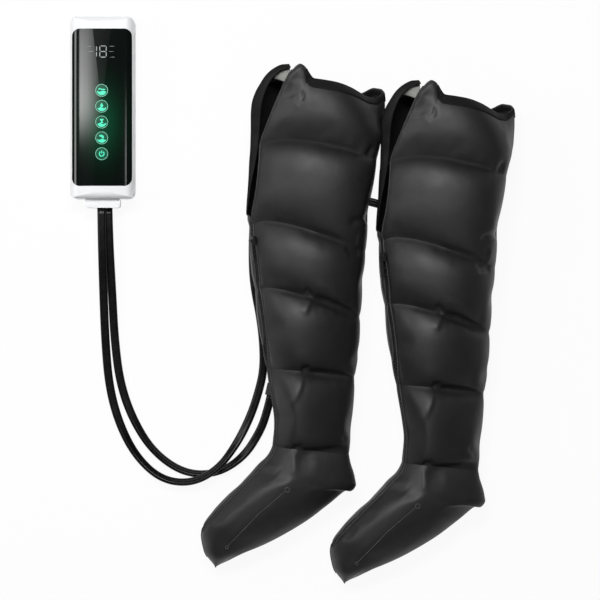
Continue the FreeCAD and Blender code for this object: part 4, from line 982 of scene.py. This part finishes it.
def weld_line():
    dashes = even(np.array([spot(*p) for p in WELD_PLACES]), 120)
    lines = [dashes[i:i + 3] for i in range(0, 118, 3)]
    for end, size in WELD_RINGS:
        turns = np.linspace(0, 2 * math.pi, 25)
        lines.append([spot(*end) + size * np.array((math.cos(a), math.sin(a))) for a in turns])
    points, faces = [], []
    for line in lines:
        rings = round_tube(np.array([on_skin(p) for p in line]), WELD_RADIUS, 6)
        faces += [[len(points) + i for i in face] for face in tube_faces(*rings.shape[:2])]
        points.extend(rings.reshape(-1, 3))
    return points, faces


boot_piece("foot_weld", *weld_line(), WELD, "boot_fabric")

# A short neck joins each air inlet to the boot above it. The places are in millimetres.
NECKS = {
    "left_inlet_neck": ((-35, -162, 8), (-26, -162, 14), (-14, -162, 24)),
    "right_inlet_neck": ((173, 172, 8), (180, 171.5, 13), (190, 171, 23)),
}
NECK_RADIUS = 5 * MM
for name, line in NECKS.items():
    tube(name, round_tube(even(np.array(line) * MM, 12), NECK_RADIUS, 16), FITTING)


# ------------ controller

FINISHES = {
    WHITE: ("rear_shell", "front_shell", "hose_plug"),
    LENS: ("front_lens",),
    KEY_BLACK: ("key_mode", "key_pressure", "key_time", "key_zone", "key_power"),
    BOARD: ("control_board",),
    STEEL: ("board_screws", "housing_screws"),
    SWITCH: ("tact_switches",),
    DISPLAY: ("display_module",),
    RUBBER: ("rubber_feet",),
    INNER: ("battery_tray", "pump_cradle", "pump_head", "valve_manifold", "solenoid_valves", "plug_nozzles"),
    CELLS: ("battery_cells",),
    CRANK: ("pump_motor", "pump_crank"),
    TUBE: ("air_tubes",),
    FITTING: ("air_socket", "charge_socket", "left_air_inlet", "right_air_inlet"),
    SEAL: ("nozzle_seals",),
    ENAMEL: ("left_zip_slider", "right_zip_slider", "left_zip_pull", "right_zip_pull"),
}
for material, names in FINISHES.items():
    for name in names:
        mesh = nodes[name].data
        mesh.materials.clear()
        mesh.materials.append(material)

SIGN_LIFT = 0.12 * MM


def draped(name, node, loops, material, body):
    """Flat symbols laid on a node's top, from closed lines on the floor plan."""
    solid = nodes[node].data
    top = BVHTree.FromPolygons([v.co for v in solid.vertices], [tuple(p.vertices) for p in solid.polygons])
    shape = bmesh.new()
    for loop in loops:
        shape.faces.new([shape.verts.new((x, y, 0)) for x, y in loop])
    bmesh.ops.triangulate(shape, faces=shape.faces)
    bmesh.ops.subdivide_edges(shape, edges=shape.edges, cuts=2, use_grid_fill=True)
    for vert in shape.verts:
        hit, _, _, _ = top.ray_cast(Vector((vert.co.x, vert.co.y, RAY_HEIGHT)), DOWN)
        vert.co.z = (hit.z if hit else 0.06) + SIGN_LIFT
    bmesh.ops.recalc_face_normals(shape, faces=shape.faces)
    for face in shape.faces:
        if face.normal.z < 0:
            face.normal_flip()
    mesh = bpy.data.meshes.new(name)
    shape.to_mesh(mesh)
    shape.free()
    put(add_mesh(name, mesh, material), body=body)


def moved_to(x, y, loops):
    """Loops in millimetres, put round a place on the floor plan."""
    return [[(x + a * MM, y + b * MM) for a, b in loop] for loop in loops]


def ring_loops(inner, outer, first=0.0, last=2 * math.pi, parts=24):
    turns = np.linspace(first, last, parts + 1)
    return [[(r * math.cos(a), r * math.sin(a)) for r, a in ((inner, a0), (outer, a0), (outer, a1), (inner, a1))]
            for a0, a1 in zip(turns[:-1], turns[1:])]


def wave_fill(level, height, turns, shift, radius=8.6):
    """The part of a disc below a wavy line."""
    xs = np.linspace(-1, 1, 25) * math.sqrt(radius ** 2 - level ** 2)
    top = [(x, min(level + height * math.sin(turns * x / radius + shift), math.sqrt(radius ** 2 - x * x)))
           for x in xs]
    first, last = (math.atan2(y, x) for x, y in (top[-1], top[0]))
    if last > 0:
        last -= 2 * math.pi
    return top + [(radius * math.cos(a), radius * math.sin(a)) for a in np.linspace(first, last, 24)[1:-1]]


# Plain signs inside the rings, in millimetres round the key's middle.
LEG = [(-6, 3.6), (-2.2, 3.9), (0.2, 2.6), (4.4, 2.9), (6.6, 1.6), (6.2, 0.4), (2.5, 0.9), (-0.4, 0.6),
       (-2.6, 1.8), (-6, 1.6)]
DROP = [(0, 6.2), (1.5, 3.6), (2.7, 1.4), (2.3, -0.8), (0, -1.8), (-2.3, -0.8), (-2.7, 1.4), (-1.5, 3.6)]
GLASS = [(-3.6, 5.6), (3.6, 5.6), (3.2, 4.2), (0.7, 1.2), (3.2, -2), (-3.2, -2), (-0.7, 1.2), (-3.2, 4.2)]
LEAF = [(-4.6, 5.2), (0.4, 5.6), (3.8, 3.4), (4.2, 0.2), (2.2, -1.8), (0.6, 0.6), (-2, 2.2), (-4.4, 2.8)]
SIGNS = {
    "mode": [LEG, wave_fill(-1.4, 1.0, 4.5, 0.4)],
    "pressure": [DROP, wave_fill(-2.6, 1.0, 5.0, 2.4)],
    "time": [GLASS, wave_fill(-2.8, 1.1, 4.5, 3.4)],
    "zone": [LEAF, wave_fill(-2.6, 1.0, 5.0, 1.2)],
    "power": ring_loops(3.3, 5.2, first=math.radians(125), last=math.radians(415)) + [
        [(-0.9, 0.6), (0.9, 0.6), (0.9, 5.6), (-0.9, 5.6)]],
}
for name, sign in SIGNS.items():
    node = "key_" + name
    low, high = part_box(node)
    x, y = (low[0] + high[0]) / 2, (low[1] + high[1]) / 2
    for part, loops, material in (("sign", sign, MINT), ("ring", ring_loops(10.5, 11.2, parts=40), RING)):
        draped(f"{node}_{part}", node, moved_to(x, y, loops), material, node)

# The display's number and the short bars beside it, as (x, y, width, height) in millimetres round its middle.
DISPLAY_PIXEL = (101.5, 51.6)
BARS = [(x, y, 1.5, 8.4) for y in (-5, 5) for x in (-8.8, -2.9, 8.6)]
BARS += [(2.9, y, 9.4, 1.5) for y in (-10, 0, 10)]
BARS += [(-22, 9.6, 7, 0.5), (-20, 0, 10, 0.5), (19, 9.6, 9, 0.5), (18, 0, 8, 0.5), (19.5, -10, 9, 0.5)]


def bar(x, y, width, height):
    """A bar with pointed ends."""
    end, tip = max(width, height) / 2, min(width, height) / 2
    shape = ((-end, 0), (tip - end, -tip), (end - tip, -tip), (end, 0), (end - tip, tip), (tip - end, tip))
    return [(x + a, y + b) if width > height else (x - b, y + a) for a, b in shape]


draped("display_digits", "front_lens", moved_to(*spot(*DISPLAY_PIXEL), [bar(*row) for row in BARS]), DIGIT,
       "controller")
